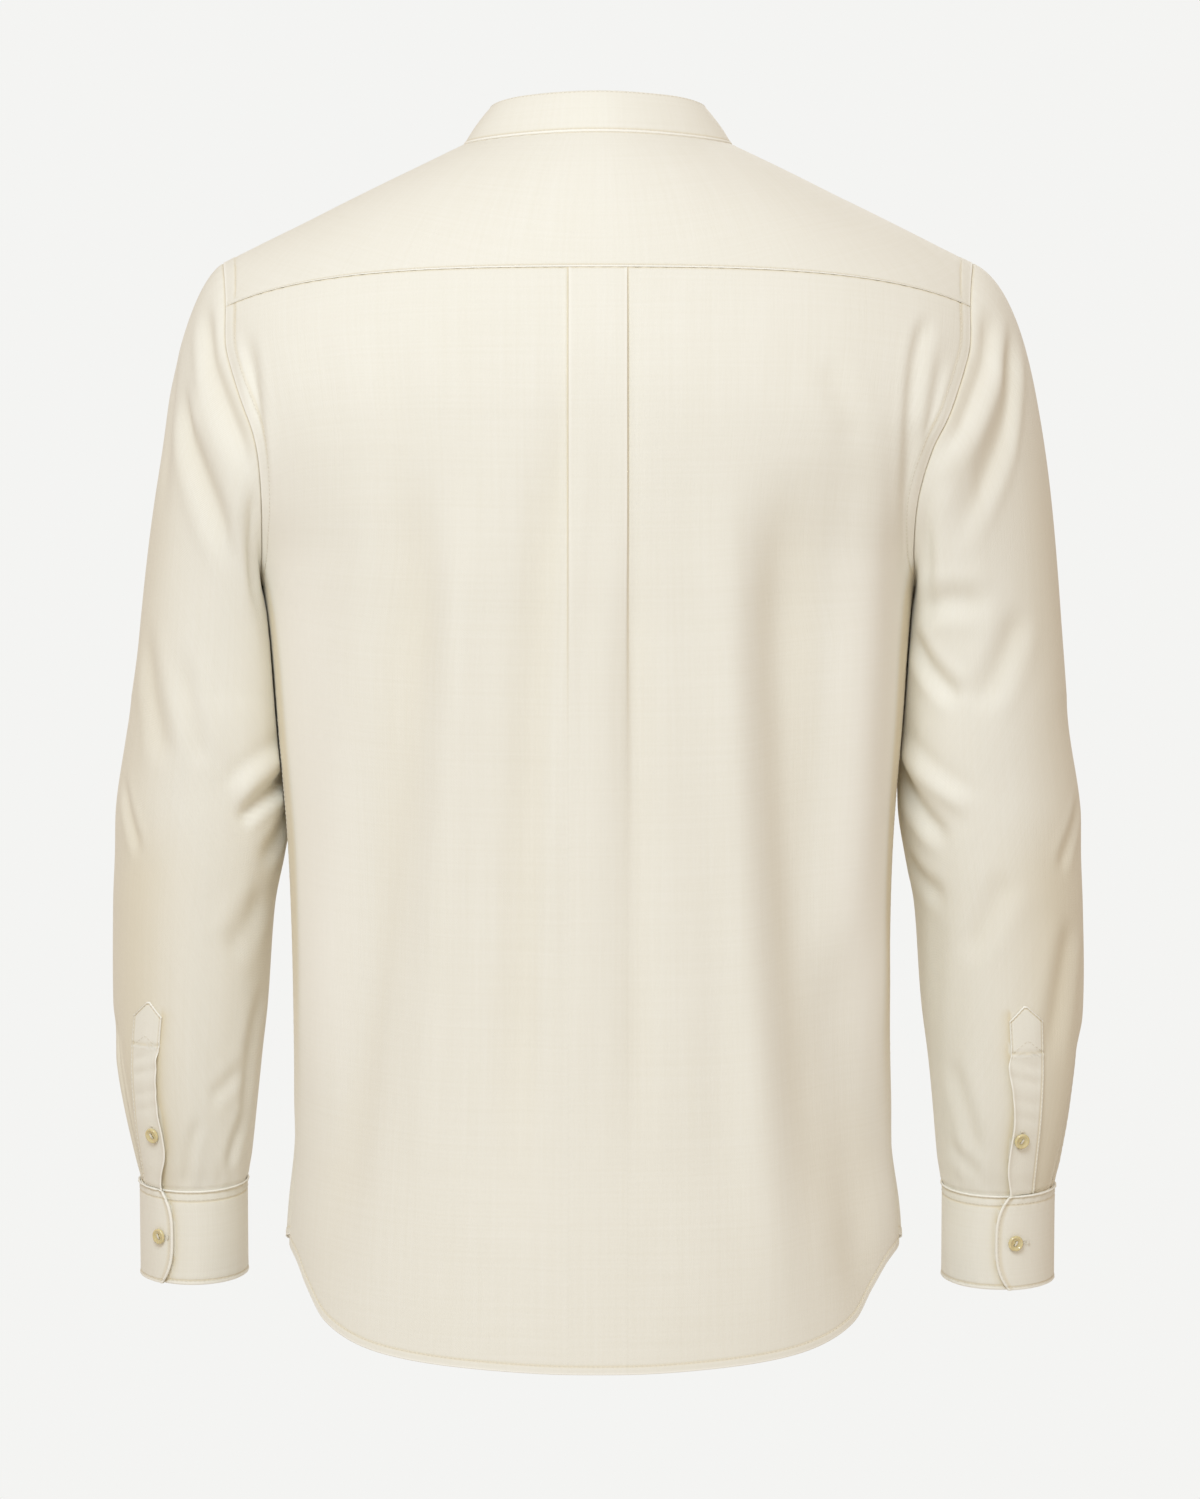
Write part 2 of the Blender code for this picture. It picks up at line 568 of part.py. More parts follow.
def sleeve_placket(points, side):
    """The tower placket: a strip on the outer back of the forearm, made from the sleeve's own points,
    with a pointed top."""
    first, last = TOWER_COLUMNS[side]
    order = slice(first, last + 1)
    if side < 0:
        order = slice(ROUND - 1 - last, ROUND - first)
    outward = normals(points, closed=True)
    rows = slice(-TOWER_ROWS - 1, None)
    strip = points[rows, order] + outward[rows, order] * (WALL + SEAM)
    middle = strip.shape[1] // 2
    taper = np.linspace(TOWER_TAPER, 0, len(strip))[:, None]
    for edge in (0, -1):
        strip[:, edge] += taper * (strip[:, middle] - strip[:, edge])
    strip[0, middle] += unit(strip[0, middle] - strip[1, middle]) * TOWER_POINT
    return strip


# ---------------------------------------------------------------- collar band

def collar_turns():
    """Turns round the neck from the band's overlapping left end to its right end under it."""
    lap = math.asin(LAP / NECK_HALF)
    start = math.pi - math.asin(PLACKET_HALF / NECK_HALF)
    front = np.linspace(start, YOKE_FRONT_CORNER, NECK_COLUMNS + 1)[:-1]
    left = np.concatenate([[math.pi + lap, math.pi - lap], front])
    right = -np.concatenate([[math.pi + lap], front])[::-1]
    return np.concatenate([left, neck_turns(), right])


def collar_band():
    """The standing band: it rises from the neck seam, leans in, and its left end laps over the right."""
    turn = collar_turns()
    seat = neck(turn)
    base = torso(seat[:, 0], seat[:, 1])
    inward = unit(base * (1, 1, 0)) * -1
    lean = COLLAR_LEAN + (COLLAR_LEAN_SIDE - COLLAR_LEAN) * np.sin(turn) ** 2
    near_end = 1 - ease((base[:, 0] - PLACKET_HALF) / (3 * PLACKET_HALF))
    lift = (BAND_WALL + SEAM) * np.where(turn > math.pi / 2, near_end, 0)
    up = np.linspace(1, 0, BAND_ROWS + 1)[:, None]
    tall = COLLAR_RISE - RIM_DROP * ease(np.abs(turn) / (math.pi / 2) - 0.5)
    rise = np.stack([0 * turn, 0 * turn, tall], axis=-1)[None] * up[..., None]
    points = base[None] + rise + inward[None] * (up * lean - lift)[..., None]
    points[-1, :, 2] += SEAM + lift
    return points


# ---------------------------------------------------------------- Blender objects

def clear_scene():
    """Remove what the file holds."""
    for item in list(bpy.data.objects):
        bpy.data.objects.remove(item, do_unlink=True)


def material(name):
    """A plain finish in the piece's colour."""
    colour, roughness = FINISHES[name]
    finish = bpy.data.materials.new(name)
    finish.use_nodes = True
    shader = finish.node_tree.nodes["Principled BSDF"]
    shader.inputs["Base Color"].default_value = colour
    shader.inputs["Roughness"].default_value = roughness
    return finish


def inset(grid, top=0.0, bottom=0.0, left=0.0, right=0.0):
    """Edges drawn back from the seam line, along the surface."""
    grid = grid.copy()
    for edge, inner, amount in ((0, 1, top), (-1, -2, bottom)):
        grid[edge] += unit(grid[inner] - grid[edge]) * amount
    for edge, inner, amount in ((0, 1, left), (-1, -2, right)):
        grid[:, edge] += unit(grid[:, inner] - grid[:, edge]) * amount
    return grid


def add_sheet(name, grid, wall, finish, group, closed=False):
    """A wall of cloth whose outer side is a grid of points."""
    rows, columns = grid.shape[:2]
    index = np.arange(rows * columns).reshape(rows, columns)
    if closed:
        index = np.hstack([index, index[:, :1]])
    quads = np.stack([index[:-1, :-1], index[1:, :-1], index[1:, 1:], index[:-1, 1:]], axis=-1)
    mesh = bpy.data.meshes.new(name)
    mesh.from_pydata(grid.reshape(-1, 3).tolist(), [], quads.reshape(-1, 4).tolist())
    mesh.materials.append(finish)
    mesh.shade_smooth()
    piece = bpy.data.objects.new(name, mesh)
    group.objects.link(piece)
    solid = piece.modifiers.new("wall", "SOLIDIFY")
    solid.thickness = wall
    solid.offset = -1
    return piece


def add_button(name, seat, outward, half, finish, group):
    """A flat round button on a surface, facing outwards."""
    bpy.ops.mesh.primitive_cylinder_add(vertices=12, radius=half, depth=BUTTON_THICK)
    button = bpy.context.object
    button.name = name
    button.data.name = name
    button.data.materials.append(finish)
    for owner in list(button.users_collection):
        owner.objects.unlink(button)
    group.objects.link(button)
    edge = button.modifiers.new("rim", "BEVEL")
    edge.width = BUTTON_RIM
    edge.segments = 1
    edge.limit_method = "ANGLE"
    turn = Vector((0, 0, 1)).rotation_difference(Vector(outward)).to_matrix().to_4x4()
    centre = Vector(seat) + Vector(outward) * (BUTTON_THICK / 2 + SEAM)
    button.matrix_world = Matrix.Translation(centre) @ turn
    return button


def seat_on(grid, row, column, closed=False):
    """A point of a sheet and the direction out of it; row and column may lie between grid points."""
    outward = normals(grid, closed)
    low, left = int(row), int(column)
    low, left = min(low, grid.shape[0] - 2), min(left, grid.shape[1] - 2)
    a, b = row - low, column - left

    def mix(field):
        return ((1 - a) * ((1 - b) * field[low, left] + b * field[low, left + 1])
                + a * ((1 - b) * field[low + 1, left] + b * field[low + 1, left + 1]))

    return mix(grid), unit(mix(outward))


def row_at(grid, column, level):
    """The row, with its fraction, where a column of a sheet passes a level."""
    heights = grid[:, column, 2]
    return float(np.interp(-level, -heights, np.arange(len(heights))))


def build():
    """Make every piece of the shirt."""
    clear_scene()
    group = bpy.data.collections.new(GARMENT)
    bpy.context.scene.collection.children.link(group)
    cloth, horn = material("shirt_cloth"), material("button_horn")
    half = SEAM / 2
    bent = SEAM * 0.9      # where two pieces meet at a bend, so that their inner corners stay apart too

    add_sheet("back_panel", inset(back_panel(), bent, 0, bent, bent), WALL, cloth, group)
    add_sheet("back_yoke", inset(yoke(), half, bent, bent, bent), WALL, cloth, group)
    fronts = {side: front_panel(side) for side in (1, -1)}
    for side, name in ((1, "front_left"), (-1, "front_right")):
        seams = {"right": bent} if side > 0 else {"left": bent}
        add_sheet(name, inset(fronts[side], top=bent, **seams), WALL, cloth, group)

    strip = np.concatenate([fronts[-1][:, -2:], fronts[1][:, 1:2]], axis=1)
    strip = strip + normals(strip) * (WALL + SEAM)
    placket = inset(strip, top=PLACKET_TOP)
    add_sheet("front_placket", placket, WALL, cloth, group)

    collar = collar_band()
    add_sheet("collar_band", collar, BAND_WALL, cloth, group)

    for side, word in ((1, "left"), (-1, "right")):
        points = sleeve(side)
        add_sheet(f"sleeve_{word}", inset(points, top=bent), WALL, cloth, group, closed=True)
        tower = inset(sleeve_placket(points, side), bottom=3 * SEAM)
        add_sheet(f"sleeve_placket_{word}", tower, WALL, cloth, group)
        band = cuff(side)
        add_sheet(f"cuff_{word}", band, BAND_WALL, cloth, group)
        column = 1 + side * PLACKET_BUTTON_PLACE[side]
        seat, outward = seat_on(tower, row_at(tower, 1, PLACKET_BUTTON_LEVEL[side]), column)
        seat = seat + outward * SHANK
        add_button(f"placket_button_{word}", seat, outward, SMALL_BUTTON_HALF, horn, group)
        share = (CUFF_END[side] - CUFF_BUTTON[side]) / (2 * math.pi + CUFF_LAP) * CUFF_COLUMNS
        column = CUFF_COLUMNS - share if side > 0 else share
        seat, outward = seat_on(band, BAND_ROWS / 2, column)
        add_button(f"cuff_button_{word}", seat, outward, SMALL_BUTTON_HALF, horn, group)

    for number in range(FRONT_BUTTONS):
        row = row_at(placket, 1, FIRST_BUTTON_LEVEL - BUTTON_SPACING * number)
        seat, outward = seat_on(placket, row, PLACKET_HALF / (PLACKET_HALF + LAP))
        add_button(f"front_button_{number + 1}", seat, outward, BUTTON_HALF, horn, group)
    seat, outward = seat_on(collar, BAND_ROWS / 2, 0.5)
    add_button("collar_button", seat, outward, BUTTON_HALF, horn, group)


build()
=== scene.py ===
# %% [markdown]
# # A mandarin collar shirt, sewn from numbers
#
# The shirt is filled out as if somebody wore it. It is cut and sewn as a real one: a back with a box pleat,
# a yoke over the shoulders, two fronts, a placket, a standing collar band, sleeves with cuffs and tower
# plackets, and twelve buttons. The plain solids of the model hold every piece's size and place. This
# lesson dresses them: each piece is made again as thin cloth on the same surface, with its creases, its
# seams, its stitches and its weave.
#
# Cloth could be simulated, but a simulation rarely leaves the creases where they are wanted. Here the form
# is a formula, and every crease is a row in a short table, so each one can be read, moved and tried again.

import math

import bpy
import numpy as np
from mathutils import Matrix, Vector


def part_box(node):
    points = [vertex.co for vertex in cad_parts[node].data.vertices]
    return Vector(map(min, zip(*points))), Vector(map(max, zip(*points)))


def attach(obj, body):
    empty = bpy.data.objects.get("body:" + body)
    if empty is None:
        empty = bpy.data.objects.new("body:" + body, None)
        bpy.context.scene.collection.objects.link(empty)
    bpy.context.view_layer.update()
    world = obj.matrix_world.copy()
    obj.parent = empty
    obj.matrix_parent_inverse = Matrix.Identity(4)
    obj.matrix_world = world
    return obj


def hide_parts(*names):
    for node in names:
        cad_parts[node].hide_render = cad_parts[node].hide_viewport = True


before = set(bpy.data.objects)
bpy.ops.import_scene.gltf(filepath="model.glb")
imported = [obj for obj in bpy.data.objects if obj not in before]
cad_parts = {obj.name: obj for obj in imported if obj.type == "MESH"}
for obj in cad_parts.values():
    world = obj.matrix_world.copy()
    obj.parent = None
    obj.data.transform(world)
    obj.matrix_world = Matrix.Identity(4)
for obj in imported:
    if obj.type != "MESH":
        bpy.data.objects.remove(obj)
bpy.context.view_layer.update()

# %% [markdown]
# ## Numbers and curves
#
# A few small helpers carry all the shapes. A table has named columns, and a smooth curve runs through each
# column, so a body is described by a dozen levels. The curve is a cubic whose slope at a knot is the slope
# between the knot's neighbours, which bends gently and never overshoots by much.

# %% Small helpers


def table(columns, *rows):
    """One array for each named column."""
    return dict(zip(columns.split(), np.array(rows, float).T))


def smooth(at, knots, values):
    """A cubic curve through the knots. Its slope at a knot is the slope between that knot's neighbours."""
    order = np.argsort(knots)
    knots, values = knots[order], values[order]
    slope = np.zeros_like(values)
    slope[1:-1] = (values[2:] - values[:-2]) / (knots[2:] - knots[:-2])
    at = np.asarray(at, float)
    low = np.clip(np.searchsorted(knots, at, side="right") - 1, 0, len(knots) - 2)
    span = knots[low + 1] - knots[low]
    t = np.clip((at - knots[low]) / span, 0, 1)
    return ((1 + 2 * t) * (1 - t) ** 2 * values[low] + t * (1 - t) ** 2 * span * slope[low]
            + t * t * (3 - 2 * t) * values[low + 1] - t * t * (1 - t) * span * slope[low + 1])


def ease(value):
    """0 to 1 with level ends: three squares less two cubes."""
    value = np.clip(value, 0, 1)
    return value * value * (3 - 2 * value)


def root(value, power):
    """A power that keeps the sign."""
    return np.sign(value) * np.abs(value) ** power


def unit(vectors):
    """Vectors of length one."""
    return vectors / np.maximum(np.linalg.norm(vectors, axis=-1, keepdims=True), 1e-9)


def bell(distance, width):
    """A soft bump: e to the minus square of distance over width."""
    return np.exp(-(distance / width) ** 2)


def travelled(points, axis=0):
    """Length gone along a grid's rows (axis 0) or columns (axis 1), from 0 at its first edge."""
    step = np.linalg.norm(np.diff(points, axis=axis), axis=-1)
    start = np.zeros_like(np.take(step, [0], axis=axis))
    return np.concatenate([start, np.cumsum(step, axis=axis)], axis=axis)


def both_ways(points, axis=0):
    """Length gone from a grid's first edge, and length left to its last."""
    return travelled(points, axis), np.flip(travelled(np.flip(points, axis), axis), axis)


def normals(grid, closed=False):
    """Directions out of a grid whose rows run down and whose columns run counterclockwise from above:
    the cross product of the step down and the step along."""
    down = np.gradient(grid, axis=0)
    if closed:
        along = np.roll(grid, -1, axis=1) - np.roll(grid, 1, axis=1)
    else:
        along = np.gradient(grid, axis=1)
    return unit(np.cross(down, along))


halfway = smooth(1.5, np.arange(3.0), np.array([0.0, 1.0, 4.0]))
print("a curve through 0, 1, 4 at 0, 1, 2 passes", round(float(halfway), 3), "at 1.5")

# %% [markdown]
# ## The body's form
#
# The trunk of the shirt is a stack of squared ellipses: a sine and a cosine, each raised to a power a
# little under one. Above the chest a rounded arch leads from the widest level up to the shoulder ridge.
# Two numbers name any place on it. The angle runs across, from the centre to a side seam. The fall runs
# down from the ridge, positive over the back and negative over the front. Every panel is a patch of these
# two numbers, so panels that share a seam share its points.

# %% Sizes of the body
SIDES = ((1, "left"), (-1, "right"))     # the sign of x on each of the wearer's sides
SEAM = 0.0003                            # the air left between pieces at a seam
SHOULDER_HALF = 0.232
CHEST_LEVEL = -0.170
UNDERARM_LEVEL = -0.272
RIDGE_TOP, RIDGE_SLOPE, RIDGE_ROUNDING = 0.0314, 0.505, 0.030
ARCH, ARCH_BACK, ARCH_FRONT = 0.200, 1.8, 1.6
NECK_HALF = 0.083
NECK_BACK_LEVEL, NECK_SIDE_LEVEL, NECK_FRONT_LEVEL = 0.005, 0.002, -0.032
YOKE_LEVEL, YOKE_DROP = -0.082, 0.0180
YOKE_FRONT_CORNER, YOKE_BACK_CORNER = math.radians(112), math.radians(62)
HEM_BACK_LEVEL, HEM_FRONT_LEVEL, HEM_SIDE_LEVEL = -0.749, -0.736, -0.674
CORNER_TURN = math.pi / 4          # from the shoulder point to a yoke corner, round the armhole

BODY = table(
    "level half_width drift back front square",
    (-0.170, 0.2450, 0.0000, 0.128, 0.120, 2.30),
    (-0.190, 0.2390, 0.0020, 0.128, 0.123, 2.30),
    (-0.220, 0.2230, 0.0050, 0.127, 0.126, 2.28),
    (-0.250, 0.2070, 0.0062, 0.126, 0.127, 2.26),
    (-0.272, 0.2015, 0.0060, 0.125, 0.127, 2.25),
    (-0.295, 0.1985, 0.0055, 0.123, 0.126, 2.25),
    (-0.346, 0.1942, 0.0050, 0.120, 0.124, 2.25),
    (-0.435, 0.1870, 0.0047, 0.116, 0.120, 2.22),
    (-0.530, 0.1845, 0.0040, 0.115, 0.118, 2.20),
    (-0.620, 0.1855, 0.0030, 0.117, 0.119, 2.18),
    (-0.675, 0.1900, 0.0025, 0.120, 0.120, 2.16),
    (-0.760, 0.1885, 0.0050, 0.123, 0.120, 2.16),
)
ARMHOLE = table(
    "level back front",
    (-0.068, 0.2320, 0.2320),
    (-0.085, 0.2298, 0.2285),
    (-0.100, 0.2285, 0.2260),
    (-0.125, 0.2277, 0.2205),
    (-0.140, 0.2240, 0.2160),
    (-0.165, 0.2155, 0.2075),
    (-0.190, 0.2055, 0.1985),
    (-0.220, 0.2000, 0.1950),
    (-0.250, 0.1995, 0.1965),
    (-0.272, 0.2015, 0.2015),
)
HEM = table(
    "angle share",
    (0, 0.00), (25, 0.045), (43, 0.16), (58, 0.37), (66, 0.62), (73, 0.84), (82, 0.96), (90, 1.00),
)
print("shoulders", 2 * SHOULDER_HALF, "m across,", len(BODY["level"]), "levels of the body")

# %% The surface of the body


def ridge(x):
    """Height of the shoulder line: straight slopes, rounded together at the centre by a hyperbola."""
    return RIDGE_TOP - RIDGE_SLOPE * (np.sqrt(x * x + RIDGE_ROUNDING ** 2) - RIDGE_ROUNDING)


def body_at(level, *columns):
    """Named columns of the body's table at a level."""
    return tuple(smooth(level, BODY["level"], BODY[column]) for column in columns)


def torso(angle, fall):
    """Point of the body. x is the half width times a power of the sine of `angle`, y the depth times a
    power of its cosine. Within ARCH of the ridge the depth grows as a power of the sine of the share of
    the arch, and the height above the chest as a power of its cosine."""
    back = fall >= 0
    drop = np.abs(fall)
    level = CHEST_LEVEL - np.maximum(drop - ARCH, 0)
    half, drift, behind, before, square = body_at(level, "half_width", "drift", "back", "front", "square")
    turn = np.minimum(drop / ARCH, 1) * math.pi / 2
    arch = 2 / np.where(back, ARCH_BACK, ARCH_FRONT)
    x = drift + half * root(np.sin(angle), 2 / square)
    y = np.where(back, behind, -before) * root(np.maximum(np.cos(angle), 0), 2 / square)
    return np.stack([x, y * np.sin(turn) ** arch,
                     level + (ridge(x) - CHEST_LEVEL) * root(np.maximum(np.cos(turn), 0), arch)], axis=-1)


def angle_at(across, level):
    """The angle whose point lies `across` from the middle of the body at a level: torso's x, undone."""
    half, square = body_at(np.minimum(level, CHEST_LEVEL), "half_width", "square")
    return np.arcsin(root(np.clip(across / half, -1, 1), square / 2))


def fall_at(across, level, face):
    """The fall whose point is at `level`, over the back (face 1) or the front (face -1)."""
    arch = np.where(face > 0, ARCH_BACK, ARCH_FRONT)
    share = np.clip((level - CHEST_LEVEL) / (ridge(across) - CHEST_LEVEL), 0, 1)
    return face * (ARCH * np.arccos(share ** (arch / 2)) / (math.pi / 2)
                   + np.maximum(CHEST_LEVEL - level, 0))


def place(across, level, face):
    """(angle, fall) of a point given by its place across the body and its level."""
    across, level, face = np.broadcast_arrays(across, level, face)
    return np.stack([angle_at(across, level), fall_at(across, level, face)], axis=-1)


def armhole(turn):
    """(angle, fall) round the armhole: 0 at the shoulder point, then back, underarm and front. The level
    falls and rises with the cosine of the turn."""
    top = ridge(SHOULDER_HALF)
    level = UNDERARM_LEVEL + (top - UNDERARM_LEVEL) * (1 + np.cos(turn)) / 2
    face = np.where(np.mod(turn, 2 * math.pi) <= math.pi + 1e-6, 1, -1)
    across = np.where(face > 0, smooth(level, ARMHOLE["level"], ARMHOLE["back"]),
                      smooth(level, ARMHOLE["level"], ARMHOLE["front"]))
    return place(across, level, face)


def neck(turn):
    """(angle, fall) round the neck seam: 0 at the centre back, half a turn at the centre front. The level
    goes from the side's to the centre's with the square of the cosine."""
    face = np.where(np.cos(turn) >= 0, 1, -1)
    bottom = np.where(face > 0, NECK_BACK_LEVEL, NECK_FRONT_LEVEL)
    level = NECK_SIDE_LEVEL + (bottom - NECK_SIDE_LEVEL) * np.cos(turn) ** 2
    across = NECK_HALF * np.sin(turn)
    return place(across, np.minimum(level, ridge(across)), face)


half_round = np.linspace(-math.pi / 2, math.pi / 2, 181)
below = ARCH + CHEST_LEVEL - UNDERARM_LEVEL
chest = sum(travelled(torso(half_round, np.full(181, face * below)))[-1] for face in (1, -1))
print("chest", round(float(chest), 2), "m round under the arms, back of the neck at",
      torso(*neck(np.zeros(1)).T).round(3).tolist())

# %% [markdown]
# ## Creases
#
# A crease in hanging cloth is a trough with a soft lip on both sides, because the cloth keeps its length.
# It is rarely even: one flank is steeper, and it grows out of flat cloth and dies away again. So each row
# below gives three points along the crease, its half width, its height (below zero for a trough) and its
# lean, which widens the flank on its right as it runs down and narrows the other. A simulation would
# scatter creases by chance, and sculpting can't be read back, so a table was chosen.

# %% One function for every crease
CREASE = "x1 z1 x2 z2 x3 z3 width height lean"
CREASE_STEPS = 16
FADE = 0.28            # share of its length over which a crease grows, and dies away


def crease_height(places, folds):
    """Height of the creases at an array of places. The line is the parabola through a crease's three
    points. Across it the section is a bell less a lower, wider one to each side. Along it the height is
    eased in and out."""
    at = np.linspace(0, 1, CREASE_STEPS + 1)
    first, second, third = 2 * (at - 0.5) * (at - 1), 4 * at * (1 - at), 2 * at * (at - 0.5)
    height = np.zeros(places.shape[:-1])
    for x1, z1, x2, z2, x3, z3, width, rise, lean in zip(*(folds[name] for name in CREASE.split())):
        line = np.stack([first * x1 + second * x2 + third * x3,
                         first * z1 + second * z2 + third * z3], axis=-1)
        run = np.diff(line, axis=0)
        offset = places[..., None, :] - line[:-1]
        along = np.clip((offset * run).sum(-1) / (run * run).sum(-1), 0, 1)
        away = offset - along[..., None] * run
        distance = np.linalg.norm(away, axis=-1)
        near = distance.argmin(axis=-1)[..., None]
        side = np.sign(away[..., 0] * run[:, 1] - away[..., 1] * run[:, 0])
        distance, along, side = (np.take_along_axis(field, near, -1)[..., 0]
                                 for field in (distance, along, side))
        share = (along + near[..., 0]) / CREASE_STEPS
        span = width * (1 + lean * side)
        section = bell(distance, span) - 0.25 * bell(distance - 1.9 * span, 0.8 * span)
        height += rise * section * ease(share / FADE) * ease((1 - share) / FADE)
    return height


def unevenness(across, down, seed):
    """Slight waviness of worn cloth: nine sine waves of seeded directions, lengths and phases."""
    chance = np.random.default_rng(seed)
    height = np.zeros(across.shape)
    for _ in range(9):
        heading = chance.normal(0.0, 0.35)
        length = chance.uniform(0.030, 0.085)
        phase, size = chance.uniform(0, 2 * math.pi), chance.uniform(0.5, 1.0)
        way = across * math.cos(heading) + 1.05 * down * math.sin(heading)
        height += size * np.sin(2 * math.pi * way / length + phase + 2.0 * np.sin(down / 0.11 + phase))
    return height / 9


# %% Creases of the back and the fronts, as seen from behind (x to the wearer's left, z up)
BACK_CREASES = table(
    CREASE,
    (0.104, -0.190, 0.1260, -0.420, 0.172, -0.760, 0.0170, -0.0056, -0.10),
    (0.084, -0.190, 0.0900, -0.430, 0.114, -0.720, 0.0110, 0.0034, 0.00),
    (0.016, -0.130, 0.0400, -0.395, 0.045, -0.690, 0.0125, -0.0052, -0.30),
    (0.001, -0.240, 0.0040, -0.420, 0.016, -0.640, 0.0090, 0.0014, 0.00),
    (-0.023, -0.205, -0.0229, -0.420, -0.022, -0.670, 0.0100, -0.0028, 0.10),
    (-0.058, -0.220, -0.0580, -0.420, -0.062, -0.680, 0.0100, 0.0012, 0.00),
    (-0.118, -0.195, -0.1215, -0.420, -0.157, -0.800, 0.0215, -0.0098, 0.10),
    (-0.080, -0.195, -0.0865, -0.440, -0.110, -0.740, 0.0150, 0.0026, 0.00),
    (-0.152, -0.470, -0.1580, -0.600, -0.176, -0.760, 0.0145, -0.0052, 0.00),
    (-0.173, -0.165, -0.1620, -0.330, -0.155, -0.520, 0.0120, 0.0036, 0.00),
    (0.128, -0.100, 0.1225, -0.190, 0.119, -0.300, 0.0120, -0.0014, 0.00),
    (-0.137, -0.135, -0.1470, -0.163, -0.160, -0.195, 0.0080, -0.0012, 0.00),
    (-0.206, -0.110, -0.1905, -0.154, -0.189, -0.290, 0.0042, -0.0028, 0.20),
    (-0.211, -0.128, -0.2040, -0.162, -0.198, -0.190, 0.0034, -0.0016, 0.00),
    (0.216, -0.112, 0.2085, -0.166, 0.205, -0.225, 0.0038, -0.0036, 0.00),
    (-0.178, -0.500, -0.1700, -0.620, -0.158, -0.720, 0.0110, -0.0014, -0.20),
)
FRONT_CREASES = table(
    CREASE,
    (0.080, -0.190, 0.093, -0.430, 0.128, -0.750, 0.0155, -0.0048, 0.10),
    (0.045, -0.260, 0.052, -0.430, 0.054, -0.640, 0.0110, -0.0024, 0.00),
    (-0.052, -0.240, -0.056, -0.400, -0.060, -0.600, 0.0110, -0.0024, 0.00),
    (-0.078, -0.170, -0.090, -0.420, -0.136, -0.750, 0.0180, -0.0056, -0.10),
    (0.182, -0.120, 0.160, -0.185, 0.120, -0.250, 0.0080, -0.0030, 0.00),
    (0.190, -0.165, 0.172, -0.215, 0.148, -0.265, 0.0060, -0.0022, 0.00),
    (-0.180, -0.118, -0.156, -0.185, -0.118, -0.255, 0.0085, -0.0032, 0.00),
    (-0.190, -0.160, -0.176, -0.210, -0.150, -0.262, 0.0060, -0.0022, 0.00),
    (0.150, -0.460, 0.160, -0.600, 0.150, -0.730, 0.0120, -0.0026, 0.00),
    (-0.152, -0.470, -0.162, -0.600, -0.148, -0.730, 0.0120, -0.0024, 0.00),
)
print(len(BACK_CREASES["x1"]), "creases on the back,", len(FRONT_CREASES["x1"]), "on the fronts")

# %% [markdown]
# ## Seams
#
# A shirt's seams are felled: one panel's edge is folded over the other's and stitched down, so a raised
# strip runs from the seam to the line of stitching, which pulls the cloth into a fine groove. The panel
# below dips under the fold. Both are heights added along the panel's own edge, measured in metres along
# the cloth, so grids get fine rows where a seam needs them and wide ones in between.

# %% Edge finishes
PLY = 0.0006             # one layer of cloth
FELL = 0.0080            # from a seam to the line that holds its allowance
EDGE_STITCH = 0.0017     # a line sewn close to an edge
HEM_BAND = 0.0050        # from the hem's fold to its stitches
GROOVE = 0.00048         # how deep a line of stitches pulls the cloth in
TUCK = 0.0009            # how deep a piece's own edge is turned in
REACH = 0.0012           # how far the lower layer goes on under the upper one

NEAR = np.array([0, 0.4, 0.9, 1.4, 1.7, 2.0, 2.6, 3.6, 5.2]) / 1000
FELLED = np.array([0, 0.4, 0.9, 1.6, 2.6, 4.2, 5.8, 7.0, 7.6, 8.0, 8.4, 9.0, 10.2, 12.2]) / 1000
HEMMED = np.array([0, 0.5, 1.2, 2.4, 3.6, 4.4, 4.8, 5.2, 5.6, 6.4, 8.0]) / 1000


def steps(length, near, far, middle):
    """Shares from 0 to 1 of a length: the fine distances `near` at its start and `far` at its end, and
    even steps of about `middle` between them."""
    count = max(int(round((length - near[-1] - far[-1]) / middle)), 1)
    even = np.linspace(near[-1], length - far[-1], count + 1)
    return np.concatenate([near[:-1], even, length - far[-2::-1]]) / length


def pucker(along, distance):
    """Small waves along a seam, drawn up by its thread, that die away within a few millimetres."""
    wave = np.sin(2 * math.pi * along / 0.0083 + 2.6 * np.sin(along / 0.0271)) * np.sin(along / 0.0617 + 0.7)
    return 0.00022 * wave * np.exp(-distance / 0.0035)


def upper_edge(distance, stitch, along):
    """Height of the layer on top at a seam: a ply up as far as the stitching, which pulls a groove."""
    strip = 0.4 * PLY * (1 - ease((distance - stitch + 0.0004) / 0.0009))
    fold = 0.00016 * bell(distance - 0.0006, 0.0005)
    return strip + fold - GROOVE * bell(distance - stitch, 0.0006) + pucker(along, np.abs(distance - stitch))


def lower_edge(distance, along, dip=0.35):
    """Height of the layer that dips under a seam's fold, by so many plies."""
    return -dip * PLY * (1 - ease(distance / 0.0014)) + pucker(along, distance)


def hem_fold(distance):
    """Height of a hem: the cloth turned up as far as its stitches, which pull a groove."""
    return (0.0005 * (1 - ease((distance - HEM_BAND + 0.0004) / 0.0010))
            - 0.0003 * bell(distance - HEM_BAND, 0.0006))


def painted_edge_shading(distance, *stitches):
    """Painted light and shade beside an edge: a painted highlight on the fold itself, standing in for light
    that comes through the cloth, and painted shade in the grooves of the stitches."""
    grooves = sum(0.80 * bell(distance - stitch, 0.0006) for stitch in stitches)
    return 0.9 * bell(distance - 0.0004, 0.0007) - grooves


def painted_under_shade(distance):
    """Painted shade on a lower layer close to the fold it dips under."""
    return -0.8 * bell(distance, 0.0009)


def painted_cast_shadow(distance):
    """A warm painted cast shadow on a lower layer beside an edge that lies on it, dying away from the edge.
    """
    return -0.95 * np.exp(-np.maximum(distance, 0) / 0.0024) * (distance > -0.0005)


